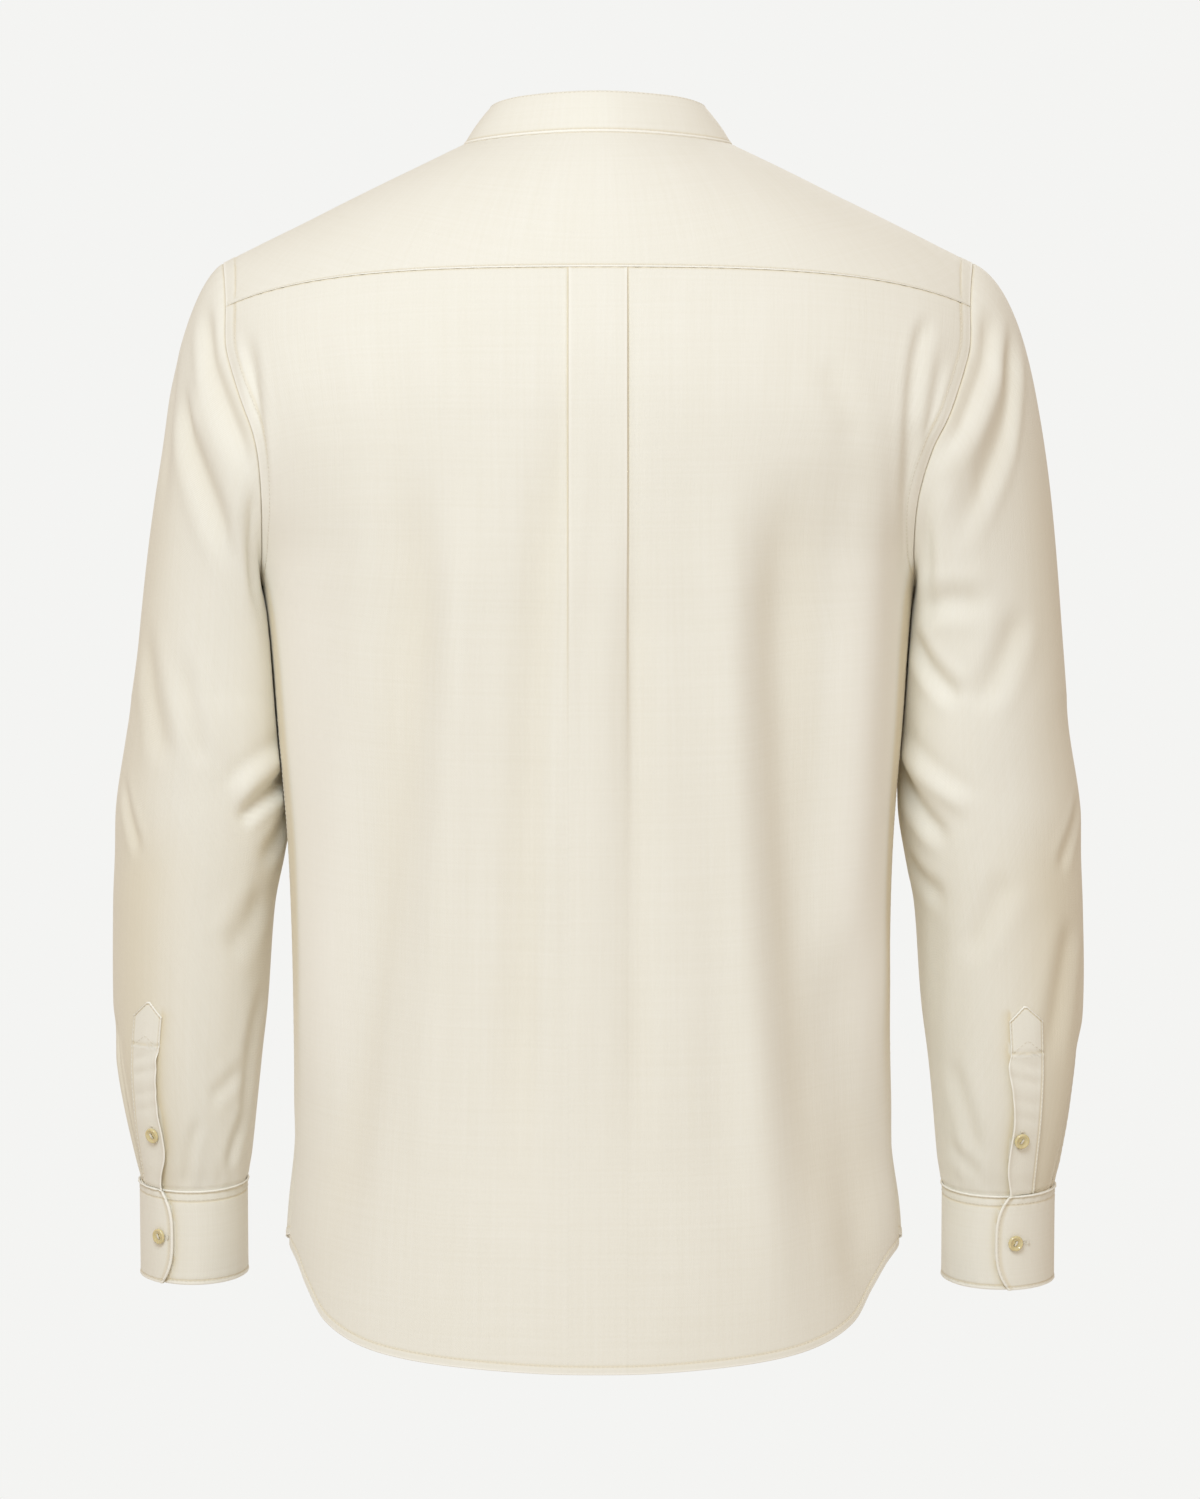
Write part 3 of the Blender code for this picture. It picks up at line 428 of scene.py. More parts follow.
def turned_in(points, outward, depth, first=True, reach=0.0):
    """A grid with one more row under its first or last edge: the allowance, folded in, or led on by
    `reach` under the next piece."""
    edge, inner = (0, 1) if first else (-1, -2)
    on = unit(points[edge] - points[inner]) * reach
    row = (points[edge] + on - outward[edge] * depth)[None]
    return np.concatenate([row, points] if first else [points, row])


print("a felled strip has", len(FELLED), "rows of its own")

# %% [markdown]
# ## Sheets of cloth
#
# Every panel ends as a mesh made the same way: the grid's points, a quad between each four neighbours, a
# UV map in metres of cloth, and a Solidify modifier that gives the wall its thickness inwards. With the
# map in metres, one weave fits all pieces and follows each around its curves.

# %% From a grid to a piece of cloth


def cloth_map(points, closed):
    """Metres along the cloth for every point: across from the middle column, and down from the top."""
    down = travelled(points, 0)
    across = travelled(points, 1)
    across = across - across[:, across.shape[1] // 2][:, None]
    across = 0.5 * across + 0.5 * across.mean(axis=0)[None]
    if closed:
        across = np.broadcast_to(across.mean(axis=0), across.shape)
    return np.stack([across, -down], axis=-1)


def area_of(points, closed=False):
    """Area of a grid: half the cross product of each quad's diagonals, added up."""
    grid = np.concatenate([points, points[:, :1]], axis=1) if closed else points
    one, two = grid[1:, 1:] - grid[:-1, :-1], grid[1:, :-1] - grid[:-1, 1:]
    return float(np.linalg.norm(np.cross(one, two), axis=-1).sum() / 2)


def add_mesh(name, points, faces):
    """An object at the origin with these points and faces, smooth shaded."""
    mesh = bpy.data.meshes.new(name)
    mesh.from_pydata(points.tolist(), [], faces)
    mesh.shade_smooth()
    piece = bpy.data.objects.new(name, mesh)
    bpy.context.scene.collection.objects.link(piece)
    return piece


def set_map(piece, per_corner):
    """Give a piece a UV map from an array with one pair for each face corner."""
    layer = piece.data.uv_layers.new(name="cloth")
    layer.data.foreach_set("uv", per_corner.astype(np.float32).ravel())


def add_sheet(name, points, wall, finish, tone, closed=False):
    """A wall of cloth whose outer side is a grid of points. `tone` is painted light and shade: 1 is a painted
    highlight on folds and -1 a warm painted shade, and rows that were turned in take their neighbour's."""
    rows, columns = points.shape[:2]
    index = np.arange(rows * columns).reshape(rows, columns)
    flat = cloth_map(points, closed)
    if closed:
        index = np.hstack([index, index[:, :1]])
        last = flat[:, -1:] + (flat[:, -1:] - flat[:, -2:-1])
        flat = np.hstack([flat, last])
    corners = [(slice(None, -1), slice(None, -1)), (slice(1, None), slice(None, -1)),
               (slice(1, None), slice(1, None)), (slice(None, -1), slice(1, None))]
    quads = np.stack([index[corner] for corner in corners], axis=-1).reshape(-1, 4)
    piece = add_mesh(name, points.reshape(-1, 3), quads.tolist())
    set_map(piece, np.stack([flat[corner] for corner in corners], axis=-2))
    piece.data.materials.append(finish)
    extra = rows - len(tone)
    tucked = (min(extra, 1), max(extra - 1, 0))
    tone = np.pad(np.broadcast_to(tone, (len(tone), columns)), (tucked, (0, 0)), "edge")
    # The tone attribute carries painted light and shade into the cloth's colour.
    layer = piece.data.attributes.new("tone", "FLOAT", "POINT")
    layer.data.foreach_set("value", np.clip(tone, -1, 1).astype(np.float32).ravel())
    solid = piece.modifiers.new("wall", "SOLIDIFY")
    solid.thickness = wall
    solid.offset = -1
    print(f"{name}: {2 * len(quads)} triangles a side, {area_of(points, closed):.4f} square metres")
    return piece


# %% [markdown]
# ## Stitches and thread
#
# Stitches on a pale shirt are the same colour as the cloth and are seen by their relief alone, so they are
# real little bars of thread. A line of stitching follows a lane: a curve at a set distance from a panel's
# edge. Each stitch is a five-sided bar that bows down into the cloth at both ends. The same bars, laid
# side by side, bind the buttonholes. An image of stitches would be quicker, but it has no edge to catch
# the light.

# %% Lanes and bars
PITCH, STITCH_LENGTH, THREAD_RADIUS = 0.0029, 0.0023, 0.00021
BAR_AT = np.array([-0.5, -0.26, 0.26, 0.5])
BAR_GIRTH = np.array([0.45, 1.0, 1.0, 0.45])
BAR_SIDES = 5


def lane(points, outward, axis, end, inset):
    """A line at `inset` metres from an edge of a grid, with the directions out of the cloth there. `axis`
    0 measures down from the first row (end 0) or up from the last (end 1), and 1 does so for columns."""
    grid, out = np.moveaxis(points, axis, 0), np.moveaxis(outward, axis, 0)
    if end:
        grid, out = grid[::-1], out[::-1]
    gone = travelled(grid)
    high = np.clip((gone < inset).sum(axis=0), 1, len(grid) - 1)[None]
    below, above = (np.take_along_axis(gone, at, 0)[0] for at in (high - 1, high))
    share = ((inset - below) / (above - below))[:, None]
    blend = [(1 - share) * np.take_along_axis(field, (high - 1)[..., None], 0)[0]
             + share * np.take_along_axis(field, high[..., None], 0)[0] for field in (grid, out)]
    return blend[0], unit(blend[1])


def ring_quads(index):
    """Quads between closed rings of points: the last axis runs round a ring, the one before it from ring
    to ring."""
    near, far = index[..., :-1, :], index[..., 1:, :]
    quads = np.stack([near, np.roll(near, -1, axis=-1), np.roll(far, -1, axis=-1), far], axis=-1)
    return quads.reshape(-1, 4).tolist()


def bars(centres, heading, outward, length, radius):
    """Points and faces of many short bars of thread, one at each centre."""
    heading, outward = unit(heading), unit(outward)
    across = unit(np.cross(outward, heading))
    spin = np.arange(BAR_SIDES) * 2 * math.pi / BAR_SIDES
    spine = (centres[:, None] + heading[:, None] * (BAR_AT * length)[None, :, None]
             + outward[:, None] * (radius * (0.7 - 6.0 * BAR_AT ** 2))[None, :, None])
    ring = (across[:, None] * np.cos(spin)[:, None] + outward[:, None] * np.sin(spin)[:, None])
    points = spine[:, :, None] + ring[:, None] * (radius * BAR_GIRTH)[None, :, None, None]
    index = np.arange(points[..., 0].size).reshape(points.shape[:3])
    caps = np.concatenate([index[:, 0, ::-1], index[:, -1]])
    return points.reshape(-1, 3), ring_quads(index) + caps.tolist()


class Thread:
    """Gathers bars of thread until they are made into one piece."""

    def __init__(self):
        self.points, self.faces, self.count = [], [], 0

    def add(self, points, faces):
        """Take in more bars."""
        self.faces += [[corner + self.count for corner in face] for face in faces]
        self.points.append(points)
        self.count += len(points)

    def sew(self, line, outward):
        """A line of stitches along a lane, evenly spaced."""
        gone = travelled(line)
        middles = np.arange(PITCH / 2, gone[-1], PITCH)
        at = [np.stack([np.interp(middles + shift, gone, line[:, axis]) for axis in range(3)], axis=-1)
              for shift in (-STITCH_LENGTH / 2, 0, STITCH_LENGTH / 2)]
        out = np.stack([np.interp(middles, gone, outward[:, axis]) for axis in range(3)], axis=-1)
        self.add(*bars(at[1], at[2] - at[0], out, STITCH_LENGTH, THREAD_RADIUS))

    def bind(self, centre, along, outward, long, high):
        """A buttonhole: bars laid across the two lips of a slit and round both of its ends."""
        along, outward = unit(along), unit(outward)
        across = np.cross(outward, along)
        turn = np.linspace(0, 2 * math.pi, 58)[:-1]
        straight = long / 2 - high / 2
        middle = np.clip(1.6 * straight * np.cos(turn), -straight, straight)[:, None]
        round_end = np.stack([np.cos(turn), np.sin(turn)], axis=-1)
        lip = 0.5 * high * round_end
        centres = centre + (middle + lip[:, :1] * (np.abs(middle) >= straight)) * along + lip[:, 1:] * across
        heading = round_end[:, :1] * (np.abs(middle) >= straight) * along + round_end[:, 1:] * across
        self.add(*bars(centres, heading, np.broadcast_to(outward, centres.shape), 0.62 * high, 0.00017))

    def finish(self, name, finish):
        """Make the piece."""
        piece = add_mesh(name, np.concatenate(self.points), self.faces)
        piece.data.materials.append(finish)
        print(f"{name}: {len(self.points)} runs, {self.count} points")
        return piece


# %% [markdown]
# ## Finishes
#
# The cloth is a fine plain weave in warm ivory, soft and almost matt, with a faint sheen at grazing
# angles, as cotton with a little silk has. Two groups are shared by the finishes: one gives the weave's
# relief, and one gives the slow changes of tone along the threads. Both read the UV map in metres, so the
# threads keep their size on every piece. Photographs of fabric could be tiled instead, but they repeat.

# %% Groups of nodes


def new_group(name, inputs, outputs):
    """An empty shader group with named sockets, its tree, and its two end nodes."""
    tree = bpy.data.node_groups.new(name, "ShaderNodeTree")
    for label, kind, value in inputs:
        socket = tree.interface.new_socket(name=label, in_out="INPUT", socket_type=kind)
        if value is not None:
            socket.default_value = value
    for label, kind in outputs:
        tree.interface.new_socket(name=label, in_out="OUTPUT", socket_type=kind)
    return tree, tree.nodes.new("NodeGroupInput"), tree.nodes.new("NodeGroupOutput")


def node(tree, kind, *links, **settings):
    """A node with settings, whose first inputs are linked to sockets or set to numbers."""
    made = tree.nodes.new(kind)
    for name, value in settings.items():
        setattr(made, name, value)
    for socket, link in zip(made.inputs, links):
        if isinstance(link, bpy.types.NodeSocket):
            tree.links.new(link, socket)
        else:
            socket.default_value = link
    return made


def math_node(tree, operation, *links):
    """The output of a Math node."""
    return node(tree, "ShaderNodeMath", *links, operation=operation).outputs[0]


def stretched_noise(tree, cloth, scale, detail, rough=0.55):
    """Noise drawn out by a different scale along each axis of the cloth."""
    mapped = node(tree, "ShaderNodeMapping", cloth)
    mapped.inputs["Scale"].default_value = scale
    noise = node(tree, "ShaderNodeTexNoise", mapped.outputs[0])
    noise.inputs["Scale"].default_value = 1.0
    noise.inputs["Detail"].default_value = detail
    noise.inputs["Roughness"].default_value = rough
    return noise.outputs["Fac"]


weave, inside, outside = new_group(
    "plain_weave",
    [("Cloth", "NodeSocketVector", None), ("Threads per metre", "NodeSocketFloat", 2000.0)],
    [("Height", "NodeSocketFloat")])
split = node(weave, "ShaderNodeSeparateXYZ", inside.outputs["Cloth"])
rate = math_node(weave, "MULTIPLY", inside.outputs["Threads per metre"], math.pi)
warp, weft = (math_node(weave, "SINE", math_node(weave, "MULTIPLY", split.outputs[axis], rate))
              for axis in (0, 1))
over = math_node(weave, "MULTIPLY", warp, weft)
slub = stretched_noise(weave, inside.outputs["Cloth"], (900.0, 60.0, 1.0), 2.0)
weave.links.new(math_node(weave, "MULTIPLY_ADD", over, 0.35, slub), outside.inputs["Height"])

tone, inside, outside = new_group(
    "thread_tone", [("Cloth", "NodeSocketVector", None)], [("Mask", "NodeSocketFloat")])
long_way = stretched_noise(tone, inside.outputs["Cloth"], (420.0, 9.0, 1.0), 3.0)
cross_way = stretched_noise(tone, inside.outputs["Cloth"], (9.0, 520.0, 1.0), 3.0)
patches = stretched_noise(tone, inside.outputs["Cloth"], (14.0, 10.0, 1.0), 2.0)
threads = math_node(tone, "ADD", long_way, cross_way)
mixed = math_node(tone, "ADD", threads, math_node(tone, "MULTIPLY_ADD", patches, 0.7, -0.85))
tone.links.new(mixed, outside.inputs["Mask"])
print("groups:", weave.name, tone.name)

# %% The finishes themselves
IVORY, IVORY_SHADE = (0.888, 0.864, 0.776, 1.0), (0.850, 0.820, 0.718, 1.0)
# Colours of the painted highlights and the painted shade that the tone attribute mixes into the cloth.
PAINTED_LIGHT, PAINTED_SHADE = (0.985, 0.962, 0.885, 1.0), (0.90, 0.830, 0.69, 1.0)
THREAD_PALE, THREAD_SHADE = (0.86, 0.82, 0.72, 1.0), (0.70, 0.65, 0.53, 1.0)
HORN_PALE, HORN_SHADE = (0.86, 0.77, 0.47, 1.0), (0.55, 0.43, 0.17, 1.0)


def mix_colours(tree, mask, one, two):
    """The colour between two colours by a mask."""
    mix = node(tree, "ShaderNodeMix", data_type="RGBA")
    tree.links.new(mask, mix.inputs[0])
    mix.inputs[6].default_value, mix.inputs[7].default_value = one, two
    return mix.outputs[2]


def new_finish(name):
    """A new finish, its tree and its Principled shader."""
    finish = bpy.data.materials.new(name)
    finish.use_nodes = True
    return finish, finish.node_tree, finish.node_tree.nodes["Principled BSDF"]


def cloth_finish(name, relief):
    """Woven ivory cloth, whose colour takes painted highlights and painted shade from the tone attribute."""
    finish, tree, shader = new_finish(name)
    cloth = node(tree, "ShaderNodeUVMap", uv_map="cloth").outputs[0]
    threads = node(tree, "ShaderNodeGroup", node_tree=tone)
    woven = node(tree, "ShaderNodeGroup", node_tree=weave)
    for group in (threads, woven):
        tree.links.new(cloth, group.inputs["Cloth"])
    woven_colour = mix_colours(tree, threads.outputs["Mask"], IVORY_SHADE, IVORY)
    # Painted light and shade: the light mask lifts the colour towards the painted highlight where tone is
    # above zero, and the warm mask multiplies it by the painted shade where tone is below zero.
    mark = node(tree, "ShaderNodeAttribute", attribute_name="tone").outputs["Fac"]
    light = node(tree, "ShaderNodeClamp", mark).outputs[0]
    warm = node(tree, "ShaderNodeClamp", math_node(tree, "MULTIPLY", mark, -1.0)).outputs[0]
    for mask, colour, mode in ((light, PAINTED_LIGHT, "MIX"), (warm, PAINTED_SHADE, "MULTIPLY")):
        blend = node(tree, "ShaderNodeMix", data_type="RGBA", blend_type=mode)
        tree.links.new(mask, blend.inputs[0])
        tree.links.new(woven_colour, blend.inputs[6])
        blend.inputs[7].default_value = colour
        woven_colour = blend.outputs[2]
    tree.links.new(woven_colour, shader.inputs["Base Color"])
    rough = math_node(tree, "MULTIPLY_ADD", threads.outputs["Mask"], -0.18, 0.86)
    tree.links.new(rough, shader.inputs["Roughness"])
    bump = node(tree, "ShaderNodeBump")
    bump.inputs["Strength"].default_value = relief
    bump.inputs["Distance"].default_value = 0.0002
    tree.links.new(woven.outputs["Height"], bump.inputs["Height"])
    tree.links.new(bump.outputs[0], shader.inputs["Normal"])
    shader.inputs["Sheen Weight"].default_value = 0.28
    shader.inputs["Sheen Roughness"].default_value = 0.42
    shader.inputs["Sheen Tint"].default_value = (1.0, 0.97, 0.90, 1.0)
    shader.inputs["Specular IOR Level"].default_value = 0.25
    return finish


shirt_cloth = cloth_finish("ivory_weave", 0.55)
band_cloth = cloth_finish("ivory_weave_stiffened", 0.40)

sewing_thread, tree, shader = new_finish("sewing_thread")
spot = node(tree, "ShaderNodeTexCoord").outputs["Object"]
ply = stretched_noise(tree, spot, (1800.0, 1800.0, 1800.0), 2.0)
tree.links.new(mix_colours(tree, ply, THREAD_SHADE, THREAD_PALE), shader.inputs["Base Color"])
shader.inputs["Roughness"].default_value = 0.55
shader.inputs["Sheen Weight"].default_value = 0.2

button_horn, tree, shader = new_finish("button_horn")
spot = node(tree, "ShaderNodeTexCoord").outputs["Object"]
cloud = stretched_noise(tree, spot, (260.0, 260.0, 90.0), 4.0)
grain = stretched_noise(tree, spot, (1500.0, 700.0, 500.0), 3.0)
streak = math_node(tree, "MULTIPLY_ADD", grain, 0.4, math_node(tree, "MULTIPLY", cloud, 0.6))
tree.links.new(mix_colours(tree, streak, HORN_SHADE, HORN_PALE), shader.inputs["Base Color"])
tree.links.new(math_node(tree, "MULTIPLY_ADD", grain, 0.16, 0.16), shader.inputs["Roughness"])
shader.inputs["Coat Weight"].default_value = 0.8
shader.inputs["Coat Roughness"].default_value = 0.08
shader.inputs["Subsurface Weight"].default_value = 0.15
shader.inputs["Subsurface Radius"].default_value = (0.0020, 0.0014, 0.0006)
shader.inputs["Subsurface Scale"].default_value = 1.0
print("finishes:", [m.name for m in (shirt_cloth, band_cloth, sewing_thread, button_horn)])

# %% [markdown]
# ## The back
#
# The back hangs from the yoke seam to the curved hem, from side seam to side seam. A box pleat in the
# middle gives it room: a flat strip with two sharp folds that soften on the way down. Each row of the
# grid is a straight blend, in angle and fall, of the yoke seam and the hem, pulled out to the armhole or
# the side seam. The columns next to the pleat are held upright, because a pleat hangs plumb even where
# the body sways.

# %% Panels as patches
PLEAT_HALF, PLEAT_RISE, PLEAT_LENGTH = 0.0178, 0.0024, 0.330
PLEAT_BESIDE = 0.0228
PLEAT_PLACES = np.array([0, 3.5, 7, 10.5, 13.5, 15.5, 16.6, 17.2, 17.5, 17.8, 18.1, 18.4, 19.0, 20.0, 21.3,
                         22.8]) / 1000
STEP = 0.0033          # spacing of rows and columns in open cloth


def side_edge(face, down):
    """(angle, fall) at shares of the way down the side: the armhole from a yoke corner to the underarm,
    then the side seam to the hem."""
    turn = np.linspace(CORNER_TURN, math.pi, 160)
    arm = armhole(turn if face > 0 else 2 * math.pi - turn)
    arm[:, 1] = face * np.abs(arm[:, 1])
    level = np.linspace(UNDERARM_LEVEL, HEM_SIDE_LEVEL, 120)[1:]
    seam = np.stack([np.full_like(level, math.pi / 2), face * (ARCH + CHEST_LEVEL - level)], axis=-1)
    edge = np.vstack([arm, seam])
    gone = travelled(torso(edge[:, 0], edge[:, 1]))
    return np.stack([np.interp(down * gone[-1], gone, edge[:, axis]) for axis in (0, 1)], axis=-1), gone[-1]


def hem(angle, face):
    """(angle, fall) along the hem, lowest at the centre of the tail."""
    lowest = HEM_BACK_LEVEL if face > 0 else HEM_FRONT_LEVEL
    share = smooth(np.degrees(np.abs(angle)), HEM["angle"], HEM["share"])
    level = lowest + (HEM_SIDE_LEVEL - lowest) * share
    return np.stack([angle, face * (ARCH + CHEST_LEVEL - level)], axis=-1)


YOKE_CORNER = armhole(np.array([CORNER_TURN]))
YOKE_REACH = float(torso(*YOKE_CORNER.T)[0, 0])


def yoke_seam(across):
    """(angle, fall) along the back yoke seam. It falls with the fourth power of the way across, and a high
    power of the way across brings its end to the yoke's corner on the armhole."""
    seam = [place(at, YOKE_LEVEL - YOKE_DROP * (np.abs(at) / SHOULDER_HALF) ** 4, 1)
            for at in (across, np.array([YOKE_REACH]))]
    near_end = (across / YOKE_REACH) ** 12
    mirror = np.stack([np.sign(across), np.ones_like(across)], axis=-1)
    return seam[0] + (YOKE_CORNER - seam[1]) * near_end[:, None] * mirror


PLEAT_TOP = yoke_seam(np.zeros(1))[0, 1]


def patch(top, bottom, side, share, down):
    """A half panel in (angle, fall): rows blend the top edge into the bottom one, and `share` of the gap
    between the blend and the side edge is added to each point."""
    down = down[:, None, None]
    mix = (1 - down) * top[None] + down * bottom[None]
    return mix + share[None, :, None] * (side - mix[:, -1])[:, None]


def plumb(grid, across, inner, fade=0.10):
    """Hold a panel's middle columns upright. Within `inner` of the centre a column stays at its place
    across; over `fade` it eases back to the patch."""
    level = CHEST_LEVEL - np.maximum(np.abs(grid[..., 1]) - ARCH, 0)
    upright = angle_at(across - body_at(level, "drift")[0], level)
    loose = ease((np.abs(across) - inner) / fade)
    return np.stack([(1 - loose) * upright + loose * grid[..., 0], grid[..., 1]], axis=-1)


def pleat_height(across, fall):
    """The box pleat: a flat strip with two sharp folds, a crevice at each and a slight hollow beside it,
    fading down."""
    along, beside = (fall - PLEAT_TOP) / PLEAT_LENGTH, np.abs(across) - PLEAT_HALF
    strength = (1 - ease((along - 0.45) / 0.75)) * (0.45 + 0.55 * ease(along * 9))
    blur = 0.0006 + 0.0085 * ease((along - 0.35) / 0.8)
    strip = 1 - ease(0.5 + beside / blur)
    hollow = bell(beside - 0.0040, 0.0045)
    crevice = bell(beside - 0.0006, 0.0004) * (1 - ease((along - 0.2) / 0.6))
    return PLEAT_RISE * strength * (strip - 0.35 * hollow) - 0.0008 * crevice


def side_dip(distance, level, wide):
    """Near the hem the side seam is drawn in, and the front swells out beyond it: a bell round the seam
    that grows as the hem comes near."""
    return -0.0045 * bell(distance, wide) * ease((-0.585 - level) / 0.07)


def painted_crease_shade(height):
    """Painted shade in the troughs: they are made a little darker and warmer than the cloth beside them."""
    return -0.15 * np.clip(-height / 0.006, 0, 1)


def painted_pleat_shading(across, fall):
    """Painted light and shade beside the pleat's two folds: painted shade in the crevice and a painted
    highlight on the fold, fading down.
    """
    along, beside = (fall - PLEAT_TOP) / PLEAT_LENGTH, np.abs(across) - PLEAT_HALF
    light, dark = 0.5 * bell(beside + 0.0007, 0.0007), 0.9 * bell(beside - 0.0003, 0.0006)
    return (light - dark) * (1 - ease((along - 0.3) / 0.6))


def painted_side_shading(outward, level):
    """Painted light and shade on the body's sides, from the chest down to where the sleeves hang free:
    painted light where the sleeves would throw light back, and a warm painted shade in the narrow gap between
    them."""
    near = ease((-0.130 - level) / 0.08) * (1 - ease((-0.480 - level) / 0.15))
    sideways = np.abs(outward[..., 0])
    return (0.65 * ease(sideways * 2.0 - 0.8) - 1.65 * ease((sideways - 0.90) / 0.06)) * near


def finish_panel(points, outward, height):
    """Move a grid's points out by a height, and give the directions out of the new surface."""
    moved = points + outward * height[..., None]
    return moved, normals(moved)


# %% The back panel
_, side_length = side_edge(1, np.zeros(1))
back_down = steps(side_length, NEAR, HEMMED, STEP)
open_width = YOKE_REACH - PLEAT_BESIDE
half_across = np.concatenate([
    PLEAT_PLACES[:-1], PLEAT_BESIDE + open_width * steps(open_width, np.array([0, 0.002]), FELLED, STEP)])


def back_grid():
    """(angle, fall) of the whole back, from the wearer's left side seam to the right one."""
    edge, _ = side_edge(1, back_down)
    spread = (half_across - PLEAT_BESIDE) / open_width
    inner = angle_at(PLEAT_BESIDE, HEM_BACK_LEVEL)
    tail = np.where(spread > 0, inner + (math.pi / 2 - inner) * spread, angle_at(half_across, HEM_BACK_LEVEL))
    half = patch(yoke_seam(half_across), hem(tail, 1), edge, np.clip(spread, 0, 1) ** 1.5, back_down)
    whole = np.concatenate([half[:, ::-1], half[:, 1:] * (-1, 1)], axis=1)
    return plumb(whole, np.concatenate([half_across[::-1], -half_across[1:]]), PLEAT_BESIDE)


grid = back_grid()
points = torso(grid[..., 0], grid[..., 1])
outward = normals(points)
(from_top, from_hem), (from_left, from_right) = both_ways(points, 0), both_ways(points, 1)
facing = ease(outward[..., 1] * 2.5)
creases = crease_height(points[..., [0, 2]], BACK_CREASES) * facing
height = (pleat_height(points[..., 0], grid[..., 1]) + creases
          + 0.00045 * unevenness(points[..., 0], points[..., 2], 11)) * ease(from_top / 0.010 + 0.25)
height *= ease(np.minimum(from_left, from_right) / 0.014)
height += lower_edge(from_top, from_left)
for gone in (from_left, from_right):
    height += upper_edge(gone, FELL, from_top) + side_dip(gone, points[..., 2], 0.016)
height += hem_fold(from_hem)
# Painted light and shade: darker and warmer in the creases, painted shade and highlight at the pleat's folds,
# painted light and shade on the sides, painted highlights on the edge folds with painted shade in their
# stitch grooves, and painted shade under the yoke.
painted_shading = (painted_crease_shade(creases) + painted_pleat_shading(points[..., 0], grid[..., 1])
            + painted_side_shading(outward, points[..., 2]) + painted_edge_shading(from_left, FELL) + painted_edge_shading(from_right, FELL)
            + painted_edge_shading(from_hem, HEM_BAND) + painted_under_shade(from_top))
back, back_out = finish_panel(points, outward, height)
back_piece = add_sheet("back_panel_cloth", turned_in(back, back_out, TUCK, reach=REACH), PLY, shirt_cloth,
                       painted_shading)

# %% [markdown]
# ## The yoke
#
# The yoke lies over both shoulders from the neck seam to the armholes, the back yoke seam and the two
# front ones. Its rows run outwards from the neck, its columns round it. It is the top layer at all of its
# seams but the neck's, so its edge is folded, raised and stitched close to the fold.

# %% The yoke
ARM_COLUMNS, BACK_COLUMNS = 36, 70
corner_share = np.linspace(1, 0, BACK_COLUMNS + 1)
back_turns = np.arcsin(corner_share * math.sin(YOKE_BACK_CORNER))
arm_turns = np.linspace(YOKE_FRONT_CORNER, YOKE_BACK_CORNER, ARM_COLUMNS + 1)
left_turns = np.concatenate([arm_turns, back_turns[1:]])
neck_turns = np.concatenate([left_turns, -left_turns[::-1][1:]])
shoulder = armhole(np.linspace(-CORNER_TURN, CORNER_TURN, ARM_COLUMNS + 1))
outer = np.vstack([shoulder, yoke_seam(YOKE_REACH * corner_share)[1:]])
outer = np.vstack([outer, (outer * (-1, 1))[::-1][1:]])
yoke_out = steps(0.105, NEAR, FELLED, STEP)[:, None, None]
grid = (1 - yoke_out) * neck(neck_turns) + yoke_out * outer
points = torso(grid[..., 0], grid[..., 1])
outward = normals(points)
from_neck, from_edge = both_ways(points)
around = travelled(points, 1)
from_end = np.minimum(np.arange(len(neck_turns)), np.arange(len(neck_turns))[::-1])
on_arm = ease((ARM_COLUMNS + 1.5 - from_end) / 3)
height = 0.00035 * unevenness(points[..., 0], points[..., 1] * 2, 5)
height *= ease(from_edge / 0.02) * ease(from_neck / 0.02)
# Painted shade under the collar seam, and painted highlights on the edge fold with painted shade in its
# stitch groove.
painted_shading = painted_under_shade(from_neck)
for share, stitch in ((on_arm, FELL), (1 - on_arm, EDGE_STITCH)):
    height += share * upper_edge(from_edge, stitch, around)
    painted_shading += share * painted_edge_shading(from_edge, stitch)
height += lower_edge(from_neck, around)
yoke, yoke_normals = finish_panel(points, outward, height)
whole = turned_in(yoke, yoke_normals, 0.0010)
whole = turned_in(whole, np.vstack([yoke_normals[:1], yoke_normals]), 0.0006, first=False)
yoke_piece = add_sheet("yoke_cloth", whole, PLY, shirt_cloth, painted_shading)

# %% [markdown]
# ## The fronts and the placket
#
# The left front laps over the right one, as on a man's shirt. Both are patches like the back, from the
# neck seam and the front yoke seam down to the hem. The placket is the left front's edge, folded to a
# strip 35 mm wide with a line of stitching near each fold. It is cut from the fronts' own surface and
# lifted off it, so it follows every curve of theirs.

# %% The fronts
PLACKET_HALF, LAP = 0.0175, 0.0120
front_down = steps(side_edge(-1, np.zeros(1))[1], NEAR, HEMMED, STEP)
LAP_COLUMNS, NECK_COLUMNS = 8, 24


